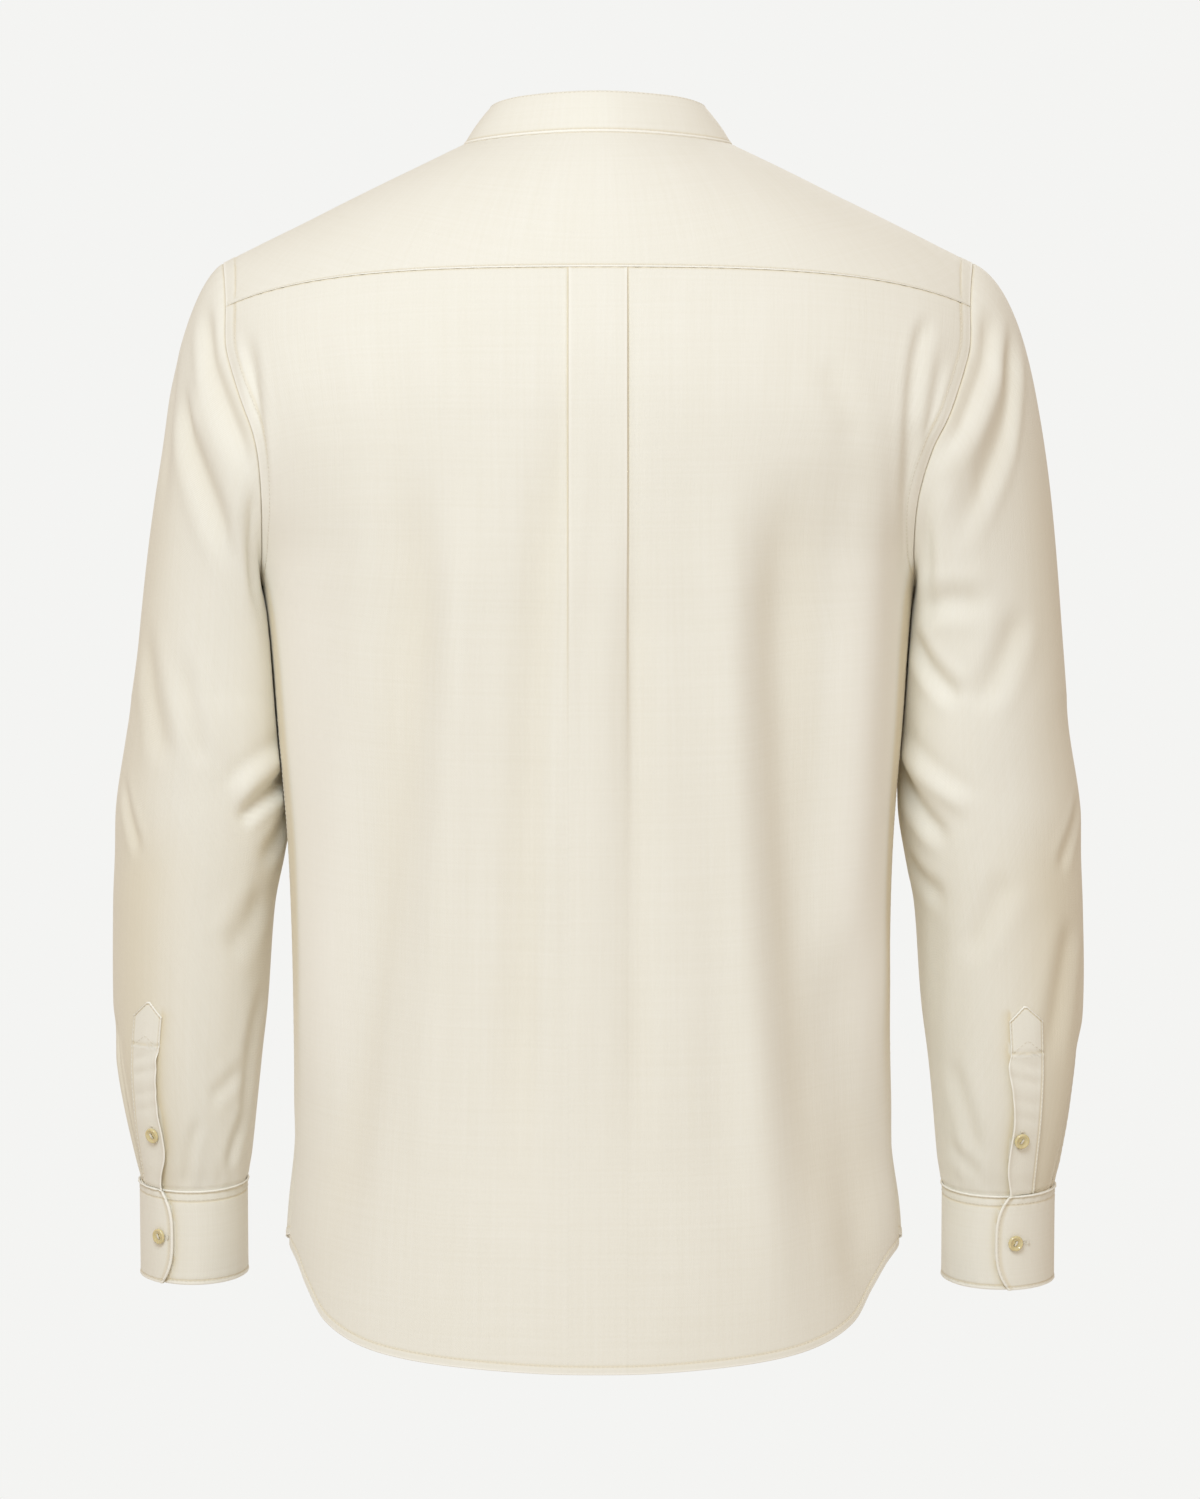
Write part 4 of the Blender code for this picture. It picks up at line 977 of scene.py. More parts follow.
def front_grid(side):
    """(angle, fall) of one front, in columns from its centre edge to the side seam."""
    edge_across = LAP + SEAM if side > 0 else -LAP
    start = math.pi - math.asin(PLACKET_HALF / NECK_HALF)
    lap = np.linspace(edge_across, PLACKET_HALF, LAP_COLUMNS + 1)
    inner_turns = math.pi - np.arcsin(lap[:-1] / NECK_HALF)
    turns = np.concatenate([inner_turns, np.linspace(start, YOKE_FRONT_CORNER, NECK_COLUMNS + 1)])
    collar = neck(turns)
    corner = armhole(np.array([2 * math.pi - CORNER_TURN]))[0]
    out = steps(0.16, np.array([0, 0.003]), FELLED, STEP)[1:, None]
    shoulder_line = (1 - out) * collar[-1] + out * corner
    top = np.vstack([collar, shoulder_line])
    edge, _ = side_edge(-1, front_down)
    lengths = travelled(torso(top[:, 0], top[:, 1]))
    share = np.clip((lengths - lengths[LAP_COLUMNS]) / (lengths[-1] - lengths[LAP_COLUMNS]), 0, 1)
    inner = angle_at(lap, HEM_FRONT_LEVEL)
    tail = np.concatenate([inner[:-1], inner[-1] + (math.pi / 2 - inner[-1]) * share[LAP_COLUMNS:]])
    grid = patch(top, hem(tail, -1), edge, share ** 1.5, front_down)
    grid[..., 0] *= side
    return plumb(grid, side * torso(top[:, 0], top[:, 1])[:, 0], PLACKET_HALF)


def front_panel(side):
    """A front's points and directions, in columns counterclockwise seen from above."""
    grid = front_grid(side)
    points = torso(grid[..., 0], grid[..., 1])
    if side < 0:
        points = points[:, ::-1]
    outward = normals(points)
    from_top, from_hem = both_ways(points)
    along, back_along = both_ways(points, 1)
    from_centre, from_side = (along, back_along) if side > 0 else (back_along, along)
    facing = ease(-outward[..., 1] * 2.5)
    creases = crease_height(points[..., [0, 2]], FRONT_CREASES) * facing
    height = (creases + 0.00045 * unevenness(points[..., 0], points[..., 2], 23)) * ease(from_top / 0.010)
    height *= ease(from_side / 0.014) * ease((from_centre - 0.020) / 0.03)
    height += lower_edge(from_top, along)
    level = points[..., 2]
    below_arm = ease((UNDERARM_LEVEL - level) / 0.01)
    height += (1 - below_arm) * upper_edge(from_side, FELL, from_top)
    height += below_arm * lower_edge(from_side, from_top) + hem_fold(from_hem)
    height += side_dip(from_side, level, 0.007) - 0.7 * side_dip(from_side - 0.022, level, 0.012)
    # Painted light and shade: darker in the creases, painted light and shade on the sides, painted highlights
    # on the folds and painted shade in stitch grooves and under the seams.
    painted_shading = (painted_crease_shade(creases) + painted_side_shading(outward, level) + painted_edge_shading(from_hem, HEM_BAND)
                + (1 - below_arm) * painted_edge_shading(from_side, FELL) + below_arm * painted_under_shade(from_side)
                + painted_under_shade(from_top))
    return *finish_panel(points, outward, height), painted_shading


fronts = {side: front_panel(side) for side, _ in SIDES}
front_pieces = {}
for side, word in SIDES:
    points, outward, painted_shading = fronts[side]
    whole = turned_in(points, outward, TUCK, reach=REACH)
    front_pieces[side] = add_sheet(f"front_{word}_cloth", whole, PLY, shirt_cloth, painted_shading)

# %% The placket strip
PLACKET_LIFT, PLACKET_STITCH, PLACKET_ROWS = 0.0013, 0.0055, 216
strip_across = np.concatenate(
    [-PLACKET_HALF + NEAR[:8], np.linspace(-0.0125, 0.0125, 15), PLACKET_HALF - NEAR[7::-1]])
levels = smooth(np.linspace(0, 1, PLACKET_ROWS), np.linspace(0, 1, 3), np.array([0.0, 0.5, 1.0]))
turn = math.pi - np.arcsin(strip_across / NECK_HALF)
top, bottom = neck(turn), hem(angle_at(strip_across, HEM_FRONT_LEVEL), -1)
down = (0.002 + 0.998 * levels)[:, None]
fall = (1 - down) * top[:, 1] + down * bottom[:, 1]
level = CHEST_LEVEL - np.maximum(np.abs(fall) - ARCH, 0)
points = torso(angle_at(strip_across - body_at(level, "drift")[0], level), fall)
outward = normals(points)
from_right, from_left = both_ways(points, 1)
height = PLACKET_LIFT + 0.00035 * unevenness(points[..., 0] * 0.4, points[..., 2], 31)
for gone in (from_right, from_left):
    height += 0.0002 * bell(gone - 0.0009, 0.0010) - 0.00028 * bell(gone - PLACKET_STITCH, 0.0007)
    height -= 0.0006 * (1 - ease(gone / 0.0008))
placket, placket_out = finish_panel(points, outward, height)
# Painted highlights on the placket's folds and painted shade in its stitch grooves.
placket_piece = add_sheet("front_placket_cloth", placket, 0.0010, shirt_cloth,
                          painted_edge_shading(from_left, PLACKET_STITCH) + painted_edge_shading(from_right, PLACKET_STITCH))

# %% [markdown]
# ## The collar band
#
# A mandarin collar is one standing band, two layers with a stiffening between them. It rises from the neck
# seam, leans in towards the neck, and its left end laps over the right one. A profile with a rounded top
# edge is carried round the neck seam.

# %% The collar band
BAND_WALL = 0.0020
COLLAR_RISE, COLLAR_LEAN, COLLAR_LEAN_SIDE = 0.0270, 0.0134, 0.0175
RIM_DROP = 0.0060          # the rim is this much lower at the front than at the back
BAND_EDGE = np.array([0, 0.25, 0.6, 1.0, 1.4, 1.7, 2.0, 2.6, 3.6]) / 1000


def collar_turns():
    """Turns round the neck from the band's overlapping left end to its right end under it."""
    lap = math.asin(LAP / NECK_HALF)
    start = math.pi - math.asin(PLACKET_HALF / NECK_HALF)
    ends = np.array([0, 0.02, 0.05, 0.09, 0.14, 0.22, 0.35, 0.5, 0.68, 0.85])
    lapped = math.pi + lap + (start - math.pi - lap) * ends
    middle = np.linspace(start, -start, 230)
    return np.concatenate([lapped, middle, -lapped[::-1]])


turn = collar_turns()
seat = neck(turn)
base = torso(seat[:, 0], seat[:, 1])
inward = -unit(base * (1, 1, 0))
lean = COLLAR_LEAN + (COLLAR_LEAN_SIDE - COLLAR_LEAN) * np.sin(turn) ** 2
near_end = 1 - ease((base[:, 0] - PLACKET_HALF) / (3 * PLACKET_HALF))
lift = (BAND_WALL + SEAM) * np.where(turn > math.pi / 2, near_end, 0)
up = 1 - steps(COLLAR_RISE, BAND_EDGE, BAND_EDGE, 0.0030)[:, None]
bow = 0.0012 * np.sin(math.pi * up)
tall = COLLAR_RISE - RIM_DROP * ease(np.abs(turn) / (math.pi / 2) - 0.5)
rise = (tall[:, None] * (0, 0, 1))[None] * up[..., None]
points = base[None] + rise + inward[None] * (up * lean - lift - bow)[..., None]
points[..., 2] += (SEAM + lift) * (1 - up) * ease((1 - up) * 6 - 5)
outward = normals(points)
from_rim, from_seam = both_ways(points)
along = travelled(points, 1)
height = 0.0003 * bell(from_seam - 0.0008, 0.0009) - 0.0003 * bell(from_seam - EDGE_STITCH, 0.0005)
height += 0.0002 * unevenness(along, points[..., 2] * 2, 41)
height += 0.6 * pucker(along, np.abs(from_seam - EDGE_STITCH)) - 0.0009 * (1 - ease(from_rim / 0.0012))
collar, collar_out = finish_panel(points, outward, height)
whole = turned_in(collar, collar_out, 0.0008, first=False, reach=REACH)
# Painted highlights on the collar's fold and rim, and painted shade in its stitch grooves.
painted_shading = (painted_edge_shading(from_seam, EDGE_STITCH) + 0.6 * bell(from_rim, 0.0009)
            - 0.3 * bell(from_rim - EDGE_STITCH, 0.0005))
painted_shading = np.vstack([painted_shading, painted_shading[-1:]])
collar_piece = add_sheet("collar_band_cloth", whole, BAND_WALL, band_cloth, painted_shading)

# %% [markdown]
# ## The sleeves
#
# A sleeve is a cap and a tube. Each column of the cap is a cubic curve that leaves the armhole in a set
# direction and arrives in line with the tube; the tube is a stack of tipped ellipses, because the forearm
# swings forward. Its creases are placed in degrees round the arm (0 at the outer side, 90 at the back,
# 180 at the inner side) and in height, so they wrap round it. Below the underarm the sleeve is pushed
# clear of the body.

# %% The sleeve's form
WRIST_LEVEL, TOWER_LEVEL, JOIN_LEVEL = -0.6414, -0.532, -0.340
SLEEVE_CLEAR = 0.0010
FULLNESS, HANG, INNER_SHIFT = {1: 0.0, -1: 0.40}, {1: 0.0, -1: 0.0030}, 0.002
JOIN_RUN = (0.08, -0.06, -1.0)
SLEEVE = table(
    "level outer inner middle half_depth tip",
    (-0.340, 0.2918, 0.1895, -0.0195, 0.0620, 0.000),
    (-0.407, 0.3006, 0.1890, -0.0270, 0.0600, 0.040),
    (-0.438, 0.3017, 0.1935, -0.0305, 0.0585, 0.065),
    (-0.469, 0.3031, 0.1997, -0.0340, 0.0570, 0.090),
    (-0.530, 0.3036, 0.2047, -0.0410, 0.0545, 0.125),
    (-0.562, 0.3010, 0.2086, -0.0445, 0.0525, 0.140),
    (-0.593, 0.2959, 0.2119, -0.0482, 0.0495, 0.150),
    (-0.625, 0.2894, 0.2152, -0.0530, 0.0445, 0.155),
    (-0.6414, 0.2868, 0.2175, -0.0555, 0.0415, 0.155),
)
CAP = table(
    "quarter out along up",
    (0, 0.098, 0.000, -0.046),
    (1, 0.070, -0.010, -0.050),
    (2, 0.012, 0.000, 0.004),
    (3, 0.070, 0.010, -0.050),
    (4, 0.098, 0.000, -0.046),
)


def clear_of_body(points, side):
    """Sleeve points moved outwards where they would touch the body below the underarm."""
    x, y, z = side * points[..., 0], points[..., 1], points[..., 2]
    half, drift, behind, before, square = body_at(z, "half_width", "drift", "back", "front", "square")
    depth = np.where(y > 0, behind, before)
    flat = np.clip(1 - np.abs(y / depth) ** square, 0, 1) ** (1 / square)
    air = SLEEVE_CLEAR * ease((UNDERARM_LEVEL - z) / 0.030)
    limit = side * drift + half * flat + air + SEAM
    moved = np.where(z < UNDERARM_LEVEL + 0.002, np.maximum(x, limit), x)
    return np.stack([side * moved, y, z], axis=-1)


def sleeve_ring(level, turn, side, extra=0.0):
    """Rings round the sleeve: x and y are half widths times the cosine and sine of the turn, and z tips
    with y. `extra` widens them."""
    outer, inner, middle, deep, tip = (
        smooth(level, SLEEVE["level"], SLEEVE[column])
        for column in ("outer", "inner", "middle", "half_depth", "tip"))
    inner = inner + INNER_SHIFT * side
    x = (outer + inner) / 2 + ((outer - inner) / 2 + extra) * np.cos(turn)
    y = (deep + extra) * np.sin(turn)
    lower = HANG[side] * ease((JOIN_LEVEL - level) / (JOIN_LEVEL - WRIST_LEVEL))
    return np.stack([side * x, middle + y, level - lower - tip * y], axis=-1)


SLEEVE_COLUMNS = 184
CROWDING, CROWDED_AT = 0.45, math.radians(30)      # columns stand closer near the tower placket
spin = np.arange(SLEEVE_COLUMNS + 1) * 2 * math.pi / SLEEVE_COLUMNS
every_turn = spin - CROWDING * (np.sin(spin - CROWDED_AT) + math.sin(CROWDED_AT))
sleeve_turn = every_turn[:-1]
cap_t = (steps(0.24, FELLED[:4], np.array([0, 0.003]), STEP) ** 1.25)[:-1]
TUBE = JOIN_LEVEL - WRIST_LEVEL
tube_level = JOIN_LEVEL - TUBE * steps(TUBE, np.array([0, 0.003]), NEAR, STEP)


def sleeve_form(side):
    """A plain sleeve, rows from the armhole to the cuff."""
    loop = armhole(sleeve_turn)
    start = torso(side * loop[:, 0], loop[:, 1])
    end = sleeve_ring(np.full(SLEEVE_COLUMNS, JOIN_LEVEL), sleeve_turn, side)
    quarter = sleeve_turn * 2 / math.pi
    puff = 1 + FULLNESS[side] * (1 + np.cos(sleeve_turn)) / 2
    leave = np.stack([side * puff * smooth(quarter, CAP["quarter"], CAP["out"]),
                      smooth(quarter, CAP["quarter"], CAP["along"]),
                      smooth(quarter, CAP["quarter"], CAP["up"])], axis=-1)
    chord = np.linalg.norm(end - start, axis=1)
    arrive = chord[:, None] * np.array(JOIN_RUN) * (side, 1, 1)
    t = cap_t[:, None, None]
    cap = ((1 + 2 * t) * (1 - t) ** 2 * start + t * (1 - t) ** 2 * leave
           + t * t * (3 - 2 * t) * end - t * t * (1 - t) * arrive)
    tube = sleeve_ring(tube_level[:, None], sleeve_turn[None], side)
    return np.concatenate([cap, tube])


# %% Creases of the sleeves: turns in degrees, heights in metres
SLEEVE_CREASES = {
    1: table(
        CREASE,
        (24, -0.092, 72, -0.150, 108, -0.210, 0.0046, -0.0040, 0.10),
        (34, -0.145, 74, -0.202, 110, -0.270, 0.0062, -0.0042, 0.15),
        (52, -0.148, 88, -0.196, 116, -0.240, 0.0060, 0.0016, 0.00),
        (2, -0.125, 27, -0.172, 44, -0.235, 0.0070, -0.0016, 0.00),
        (0, -0.120, 0, -0.250, 0, -0.370, 0.0260, -0.0030, 0.00),
        (36, -0.290, 51, -0.346, 68, -0.385, 0.0070, -0.0024, 0.00),
        (70, -0.308, 82, -0.354, 92, -0.386, 0.0060, -0.0020, 0.00),
        (184, -0.383, 140, -0.402, 116, -0.420, 0.0048, -0.0048, 0.10),
        (190, -0.368, 136, -0.385, 112, -0.408, 0.0060, 0.0034, 0.00),
        (176, -0.402, 158, -0.424, 136, -0.446, 0.0070, -0.0026, 0.00),
        (20, -0.386, 38, -0.416, 50, -0.440, 0.0040, -0.0022, 0.00),
        (152, -0.458, 136, -0.481, 118, -0.504, 0.0095, -0.0022, 0.00),
        (116, -0.210, 126, -0.245, 138, -0.300, 0.0070, -0.0030, 0.00),
        (144, -0.566, 125, -0.581, 108, -0.590, 0.0050, -0.0014, 0.00),
        (152, -0.598, 138, -0.616, 128, -0.640, 0.0052, -0.0018, 0.00),
        (104, -0.600, 91, -0.622, 84, -0.650, 0.0046, -0.0014, 0.00),
        (0, -0.530, -4, -0.600, 0, -0.676, 0.0200, -0.0052, 0.00),
        (20, -0.540, 25, -0.598, 20, -0.672, 0.0019, -0.0062, 0.00),
        (13, -0.540, 18, -0.598, 13, -0.672, 0.0026, 0.0036, 0.00),
        (164, -0.515, 150, -0.560, 152, -0.620, 0.0070, -0.0018, 0.00),
        (250, -0.120, 288, -0.165, 318, -0.232, 0.0070, -0.0038, 0.00),
        (238, -0.165, 262, -0.215, 292, -0.275, 0.0075, -0.0036, 0.00),
        (200, -0.392, 236, -0.412, 262, -0.402, 0.0060, -0.0042, 0.00),
        (196, -0.376, 232, -0.392, 264, -0.384, 0.0070, 0.0030, 0.00),
        (206, -0.432, 240, -0.450, 276, -0.440, 0.0080, -0.0030, 0.00),
        (300, -0.300, 318, -0.352, 330, -0.410, 0.0085, -0.0024, 0.00),
        (262, -0.500, 280, -0.545, 286, -0.600, 0.0080, -0.0022, 0.00),
        (334, -0.480, 326, -0.540, 330, -0.620, 0.0075, -0.0022, 0.00),
        (222, -0.560, 216, -0.600, 220, -0.660, 0.0055, -0.0022, 0.00),
    ),
    -1: table(
        CREASE,
        (30, -0.096, 70, -0.145, 106, -0.204, 0.0055, -0.0044, -0.10),
        (22, -0.106, 62, -0.170, 110, -0.256, 0.0064, -0.0042, -0.15),
        (48, -0.118, 80, -0.168, 110, -0.215, 0.0060, 0.0014, 0.00),
        (118, -0.205, 128, -0.239, 140, -0.295, 0.0070, -0.0032, 0.00),
        (152, -0.290, 116, -0.282, 84, -0.286, 0.0078, -0.0028, 0.00),
        (156, -0.296, 130, -0.325, 106, -0.344, 0.0062, -0.0034, 0.00),
        (62, -0.282, 80, -0.320, 102, -0.350, 0.0080, -0.0028, 0.00),
        (176, -0.360, 134, -0.392, 100, -0.412, 0.0062, 0.0034, 0.00),
        (174, -0.378, 146, -0.408, 118, -0.431, 0.0060, -0.0044, 0.00),
        (172, -0.434, 152, -0.453, 126, -0.466, 0.0062, -0.0026, 0.00),
        (82, -0.446, 100, -0.475, 120, -0.506, 0.0080, -0.0022, 0.00),
        (10, -0.400, 32, -0.426, 48, -0.452, 0.0044, -0.0022, 0.00),
        (32, -0.476, 46, -0.515, 60, -0.575, 0.0082, -0.0028, 0.00),
        (136, -0.562, 125, -0.597, 108, -0.632, 0.0068, -0.0018, 0.00),
        (150, -0.616, 126, -0.630, 106, -0.640, 0.0048, -0.0014, 0.00),
        (0, -0.540, -4, -0.604, 0, -0.680, 0.0200, -0.0052, 0.00),
        (4, -0.552, 15, -0.600, 30, -0.672, 0.0020, -0.0066, 0.00),
        (-4, -0.548, 7, -0.600, 22, -0.672, 0.0028, 0.0040, 0.00),
        (250, -0.118, 290, -0.168, 316, -0.238, 0.0070, -0.0038, 0.00),
        (236, -0.160, 264, -0.218, 294, -0.270, 0.0075, -0.0036, 0.00),
        (200, -0.388, 238, -0.408, 266, -0.400, 0.0062, -0.0042, 0.00),
        (196, -0.372, 234, -0.388, 266, -0.380, 0.0070, 0.0030, 0.00),
        (204, -0.440, 238, -0.455, 270, -0.448, 0.0080, -0.0028, 0.00),
        (298, -0.290, 316, -0.350, 328, -0.420, 0.0085, -0.0026, 0.00),
        (258, -0.490, 276, -0.540, 284, -0.600, 0.0080, -0.0022, 0.00),
        (336, -0.490, 328, -0.545, 332, -0.620, 0.0070, -0.0020, 0.00),
        (224, -0.560, 218, -0.600, 222, -0.660, 0.0055, -0.0022, 0.00),
    ),
}
ARM_RADIUS = 0.055                                # turns times this are lengths round the arm
TOWER_POINT = 0.0100                              # the peak above its shoulders
TOWER_FREE = {1: 0.0181, -1: 0.0199}              # how far down the free edge starts
TOWER_MIDDLE = {1: (61, 45), -1: (77, 70)}        # degrees round the sleeve, at its top and at the cuff
TOWER_HALF = (12, 15)
FREE_EDGE = {       # where the free edge wanders, in degrees, by the share of the way down
    1: table("gone wander", (0.0, -1), (0.3, -1), (0.53, 0), (0.68, 4), (0.80, 5), (0.92, 0), (1.0, -1)),
    -1: table("gone wander", (0.0, 1), (0.25, 2), (0.40, -1), (0.57, -3), (0.72, -1), (0.85, 0), (1.0, -3)),
}


def tower_place(level, side):
    """Where the tower placket is at a level: the share of the way down, how free its edge is, and the
    turns of its held and free edges."""
    gone = (TOWER_LEVEL - level) / (TOWER_LEVEL - WRIST_LEVEL)
    free = ease((gone * 0.11 - TOWER_FREE[side]) / 0.008)
    middle, half = (pair[0] + (pair[1] - pair[0]) * gone for pair in (TOWER_MIDDLE[side], TOWER_HALF))
    wander = smooth(gone, FREE_EDGE[side]["gone"], FREE_EDGE[side]["wander"]) * free
    return gone, free, np.radians(middle - half), np.radians(middle + half + wander)


# Painted bounce light, as if thrown by the body, on a sleeve's inner side where it hangs free.
INNER_PAINTED_LIGHT = {1: 0.75, -1: 0.10}       # how much light the body throws on a sleeve that hangs free of it


def painted_arm_shading(turn, level, side):
    """Painted light and shade on a sleeve: painted shade on its outer side, a warm painted shade on its inner
    side in the gap beside the body, and painted bounce light where it hangs free."""
    from_inner = np.mod(turn, 2 * math.pi) - math.pi
    hangs = ease((-0.400 - level) / 0.06)
    outer = -0.28 * ease((np.cos(turn) - 0.15) / 0.75) - 0.35 * hangs * bell(turn - 1.0, 0.55)
    inner = (1 - hangs) * (0.35 * bell(from_inner + 0.8, 0.5) - 1.0 * bell(from_inner, 0.30))
    return ease((-0.130 - level) / 0.12) * (outer + inner + hangs * INNER_PAINTED_LIGHT[side] * bell(from_inner, 0.9))


def sleeve(side):
    """A sleeve's points, directions and painted light and shade, with its creases, gathers and tucked-in
    ends.
    """
    form = sleeve_form(side)
    turn = np.broadcast_to(sleeve_turn, form.shape[:2])
    if side < 0:
        form, turn = form[:, ::-1], turn[:, ::-1]
    outward = normals(form, closed=True)
    folds = dict(SLEEVE_CREASES[side])
    for name in ("x1", "x2", "x3"):
        folds[name] = np.radians(folds[name]) * ARM_RADIUS
    places = np.stack([turn * ARM_RADIUS, form[..., 2]], axis=-1)
    full = np.array([2 * math.pi * ARM_RADIUS, 0])
    creases = crease_height(places, folds) + crease_height(places - full, folds)
    across = (1.5 * np.sin(turn) + np.cos(turn)) * ARM_RADIUS
    height = creases + 0.0006 * unevenness(across, form[..., 2], 60 + side)
    from_arm, from_cuff = both_ways(form)
    height *= ease(from_arm / 0.014)
    gather = np.sin(turn * 17 + 1.5 * np.sin(turn * 3)) * np.exp(-from_cuff / 0.014)
    height += 0.0004 * gather * ease(from_cuff / 0.006) - 0.0011 * (1 - ease(from_cuff / 0.0035))
    height += lower_edge(from_arm, turn * ARM_RADIUS, dip=1.3)
    moved = form + outward * height[..., None]
    moved[1:] = clear_of_body(moved[1:], side)
    # Painted cast shadow beside the tower placket's free edge, painted shade in the creases and along the
    # armhole seam, and the sleeve's painted light and shade.
    free = tower_place(form[..., 2], side)[3]
    beside = (turn - free) * 0.75 * ARM_RADIUS
    cast_shadow_reach = ease((TOWER_LEVEL - form[..., 2]) / 0.006) * bell(beside, 0.02)
    painted_shading = (painted_crease_shade(1.5 * creases) + painted_cast_shadow(beside) * cast_shadow_reach - 1.0 * bell(from_arm, 0.0012)
                + painted_arm_shading(turn, form[..., 2], side))
    return moved, normals(moved, closed=True), painted_shading


sleeves = {side: sleeve(side) for side, _ in SIDES}
sleeve_pieces = {}
for side, word in SIDES:
    points, outward, painted_shading = sleeves[side]
    whole = turned_in(points, outward, TUCK, reach=0.0010)
    tail = whole[-1] - outward[-1] * 0.0012 + (0, 0, -0.003)
    whole = np.concatenate([whole, tail[None]])
    sleeve_pieces[side] = add_sheet(f"sleeve_{word}_cloth", whole, PLY, shirt_cloth, painted_shading, closed=True)

# %% [markdown]
# ## The cuffs
#
# A barrel cuff is one band round the wrist. Its rounded outer end laps over the inner one and buttons
# down. The band is a spiral that starts a little further out than it ends, and its end is drawn back at
# both corners with the cube of the distance from its middle. Its edges are turned and stitched.

# %% The cuffs
CUFF_DEPTH, CUFF_TUCK, CUFF_WALL = 0.060, 0.0007, 0.0018
CUFF_LAP, CUFF_ROUNDING = math.radians(36), math.radians(13)
CUFF_END = {1: math.radians(71), -1: math.radians(96)}     # the overlapping end, round from the outer side
CUFF_RUN = (0.0, -0.155, -0.988)
CUFF_STEP = (math.radians(8), math.radians(80))
CUFF_SECOND = 0.0072       # the second line of stitches below the seam
CUFF_HEM = 0.0028          # the line of stitches along its lower edge and its end
CUFF_DOWN = np.array([0, 0.3, 0.7, 1.2, 1.7, 2.2, 3.0, 4.4, 5.8, 6.6, 7.0, 7.4, 7.8, 8.6, 10.5]) / 1000
CUFF_UP = np.array([0, 0.3, 0.7, 1.3, 1.9, 2.4, 2.8, 3.2, 3.8, 5.0, 7.0]) / 1000


def cuff(side):
    """A cuff's points, directions and painted light and shade."""
    share = steps(0.29, BAND_EDGE, BAND_EDGE, 0.0022)
    deep = steps(CUFF_DEPTH, CUFF_DOWN, CUFF_UP, 0.0032)[:, None]
    end = CUFF_END[side] - CUFF_ROUNDING * np.abs(2 * deep - 1) ** 3
    far = CUFF_END[side] - 2 * math.pi - CUFF_LAP
    turn = end + (far - end) * share[None]
    settle, slowly = CUFF_STEP
    lift = (BAND_WALL + SEAM) * (1 - ease((CUFF_END[side] - CUFF_LAP - settle - turn) / slowly))
    ring = sleeve_ring(np.full_like(turn, WRIST_LEVEL), turn, side, lift - CUFF_TUCK)
    points = ring + np.array(CUFF_RUN) * CUFF_DEPTH * deep[..., None]
    points = points[:, ::-1] if side > 0 else points
    outward = normals(points)
    from_top, from_foot = both_ways(points)
    along, back_along = both_ways(points, 1)
    from_end = back_along if side > 0 else along
    height = 0.0010 * bell(from_top - 0.0007, 0.0009) + 0.0004 * bell(from_foot - 0.0008, 0.0011)
    height += 0.0010 * bell(from_end - 0.0010, 0.0010)
    lines = ((from_top, EDGE_STITCH), (from_top, CUFF_SECOND), (from_foot, CUFF_HEM), (from_end, CUFF_HEM))
    for distance, stitch in lines:
        height -= 0.00042 * bell(distance - stitch, 0.0005)
        height += 0.7 * pucker(along, np.abs(distance - stitch))
    height += 0.00035 * unevenness(along, points[..., 2], 70 + side)
    for distance in (from_top, from_foot, from_end):
        height -= 0.0006 * (1 - ease(distance / 0.0005))
    # Painted highlights on the cuff's folds, painted shade in its stitch grooves, and a painted cast shadow
    # where the overlapping end lies on the band.
    under = (turn - end + 2 * math.pi) * 0.040
    under = under[:, ::-1] if side > 0 else under
    painted_shading = (painted_edge_shading(from_top, EDGE_STITCH, CUFF_SECOND) + painted_edge_shading(from_foot, CUFF_HEM)
                + painted_edge_shading(from_end, CUFF_HEM) + painted_cast_shadow(under) * bell(under, 0.03))
    return *finish_panel(points, outward, height), painted_shading


cuffs = {side: cuff(side) for side, _ in SIDES}
cuff_pieces = {side: add_sheet(f"cuff_{word}_cloth", cuffs[side][0], CUFF_WALL, band_cloth, cuffs[side][2])
               for side, word in SIDES}

# %% [markdown]
# ## The tower plackets
#
# The slit of each sleeve is bound by a strip with a pointed top, like a little tower. It lies on the
# sleeve, stitched all round its tower and down its outer side, while its inner edge is free and waves a
# little. The strip reads its points off the sleeve's own grid, so it lies on the cloth wherever it goes.

# %% The tower plackets
def on_grid(points, row, column):
    """Points between those of a closed grid, by the share of each of the four around."""
    low, left = np.floor(row).astype(int), np.floor(column).astype(int)
    low = np.clip(low, 0, len(points) - 2)
    a, b = (row - low)[..., None], (column - left)[..., None]
    one, two = left % points.shape[1], (left + 1) % points.shape[1]
    return ((1 - a) * ((1 - b) * points[low, one] + b * points[low, two])
            + a * ((1 - b) * points[low + 1, one] + b * points[low + 1, two]))


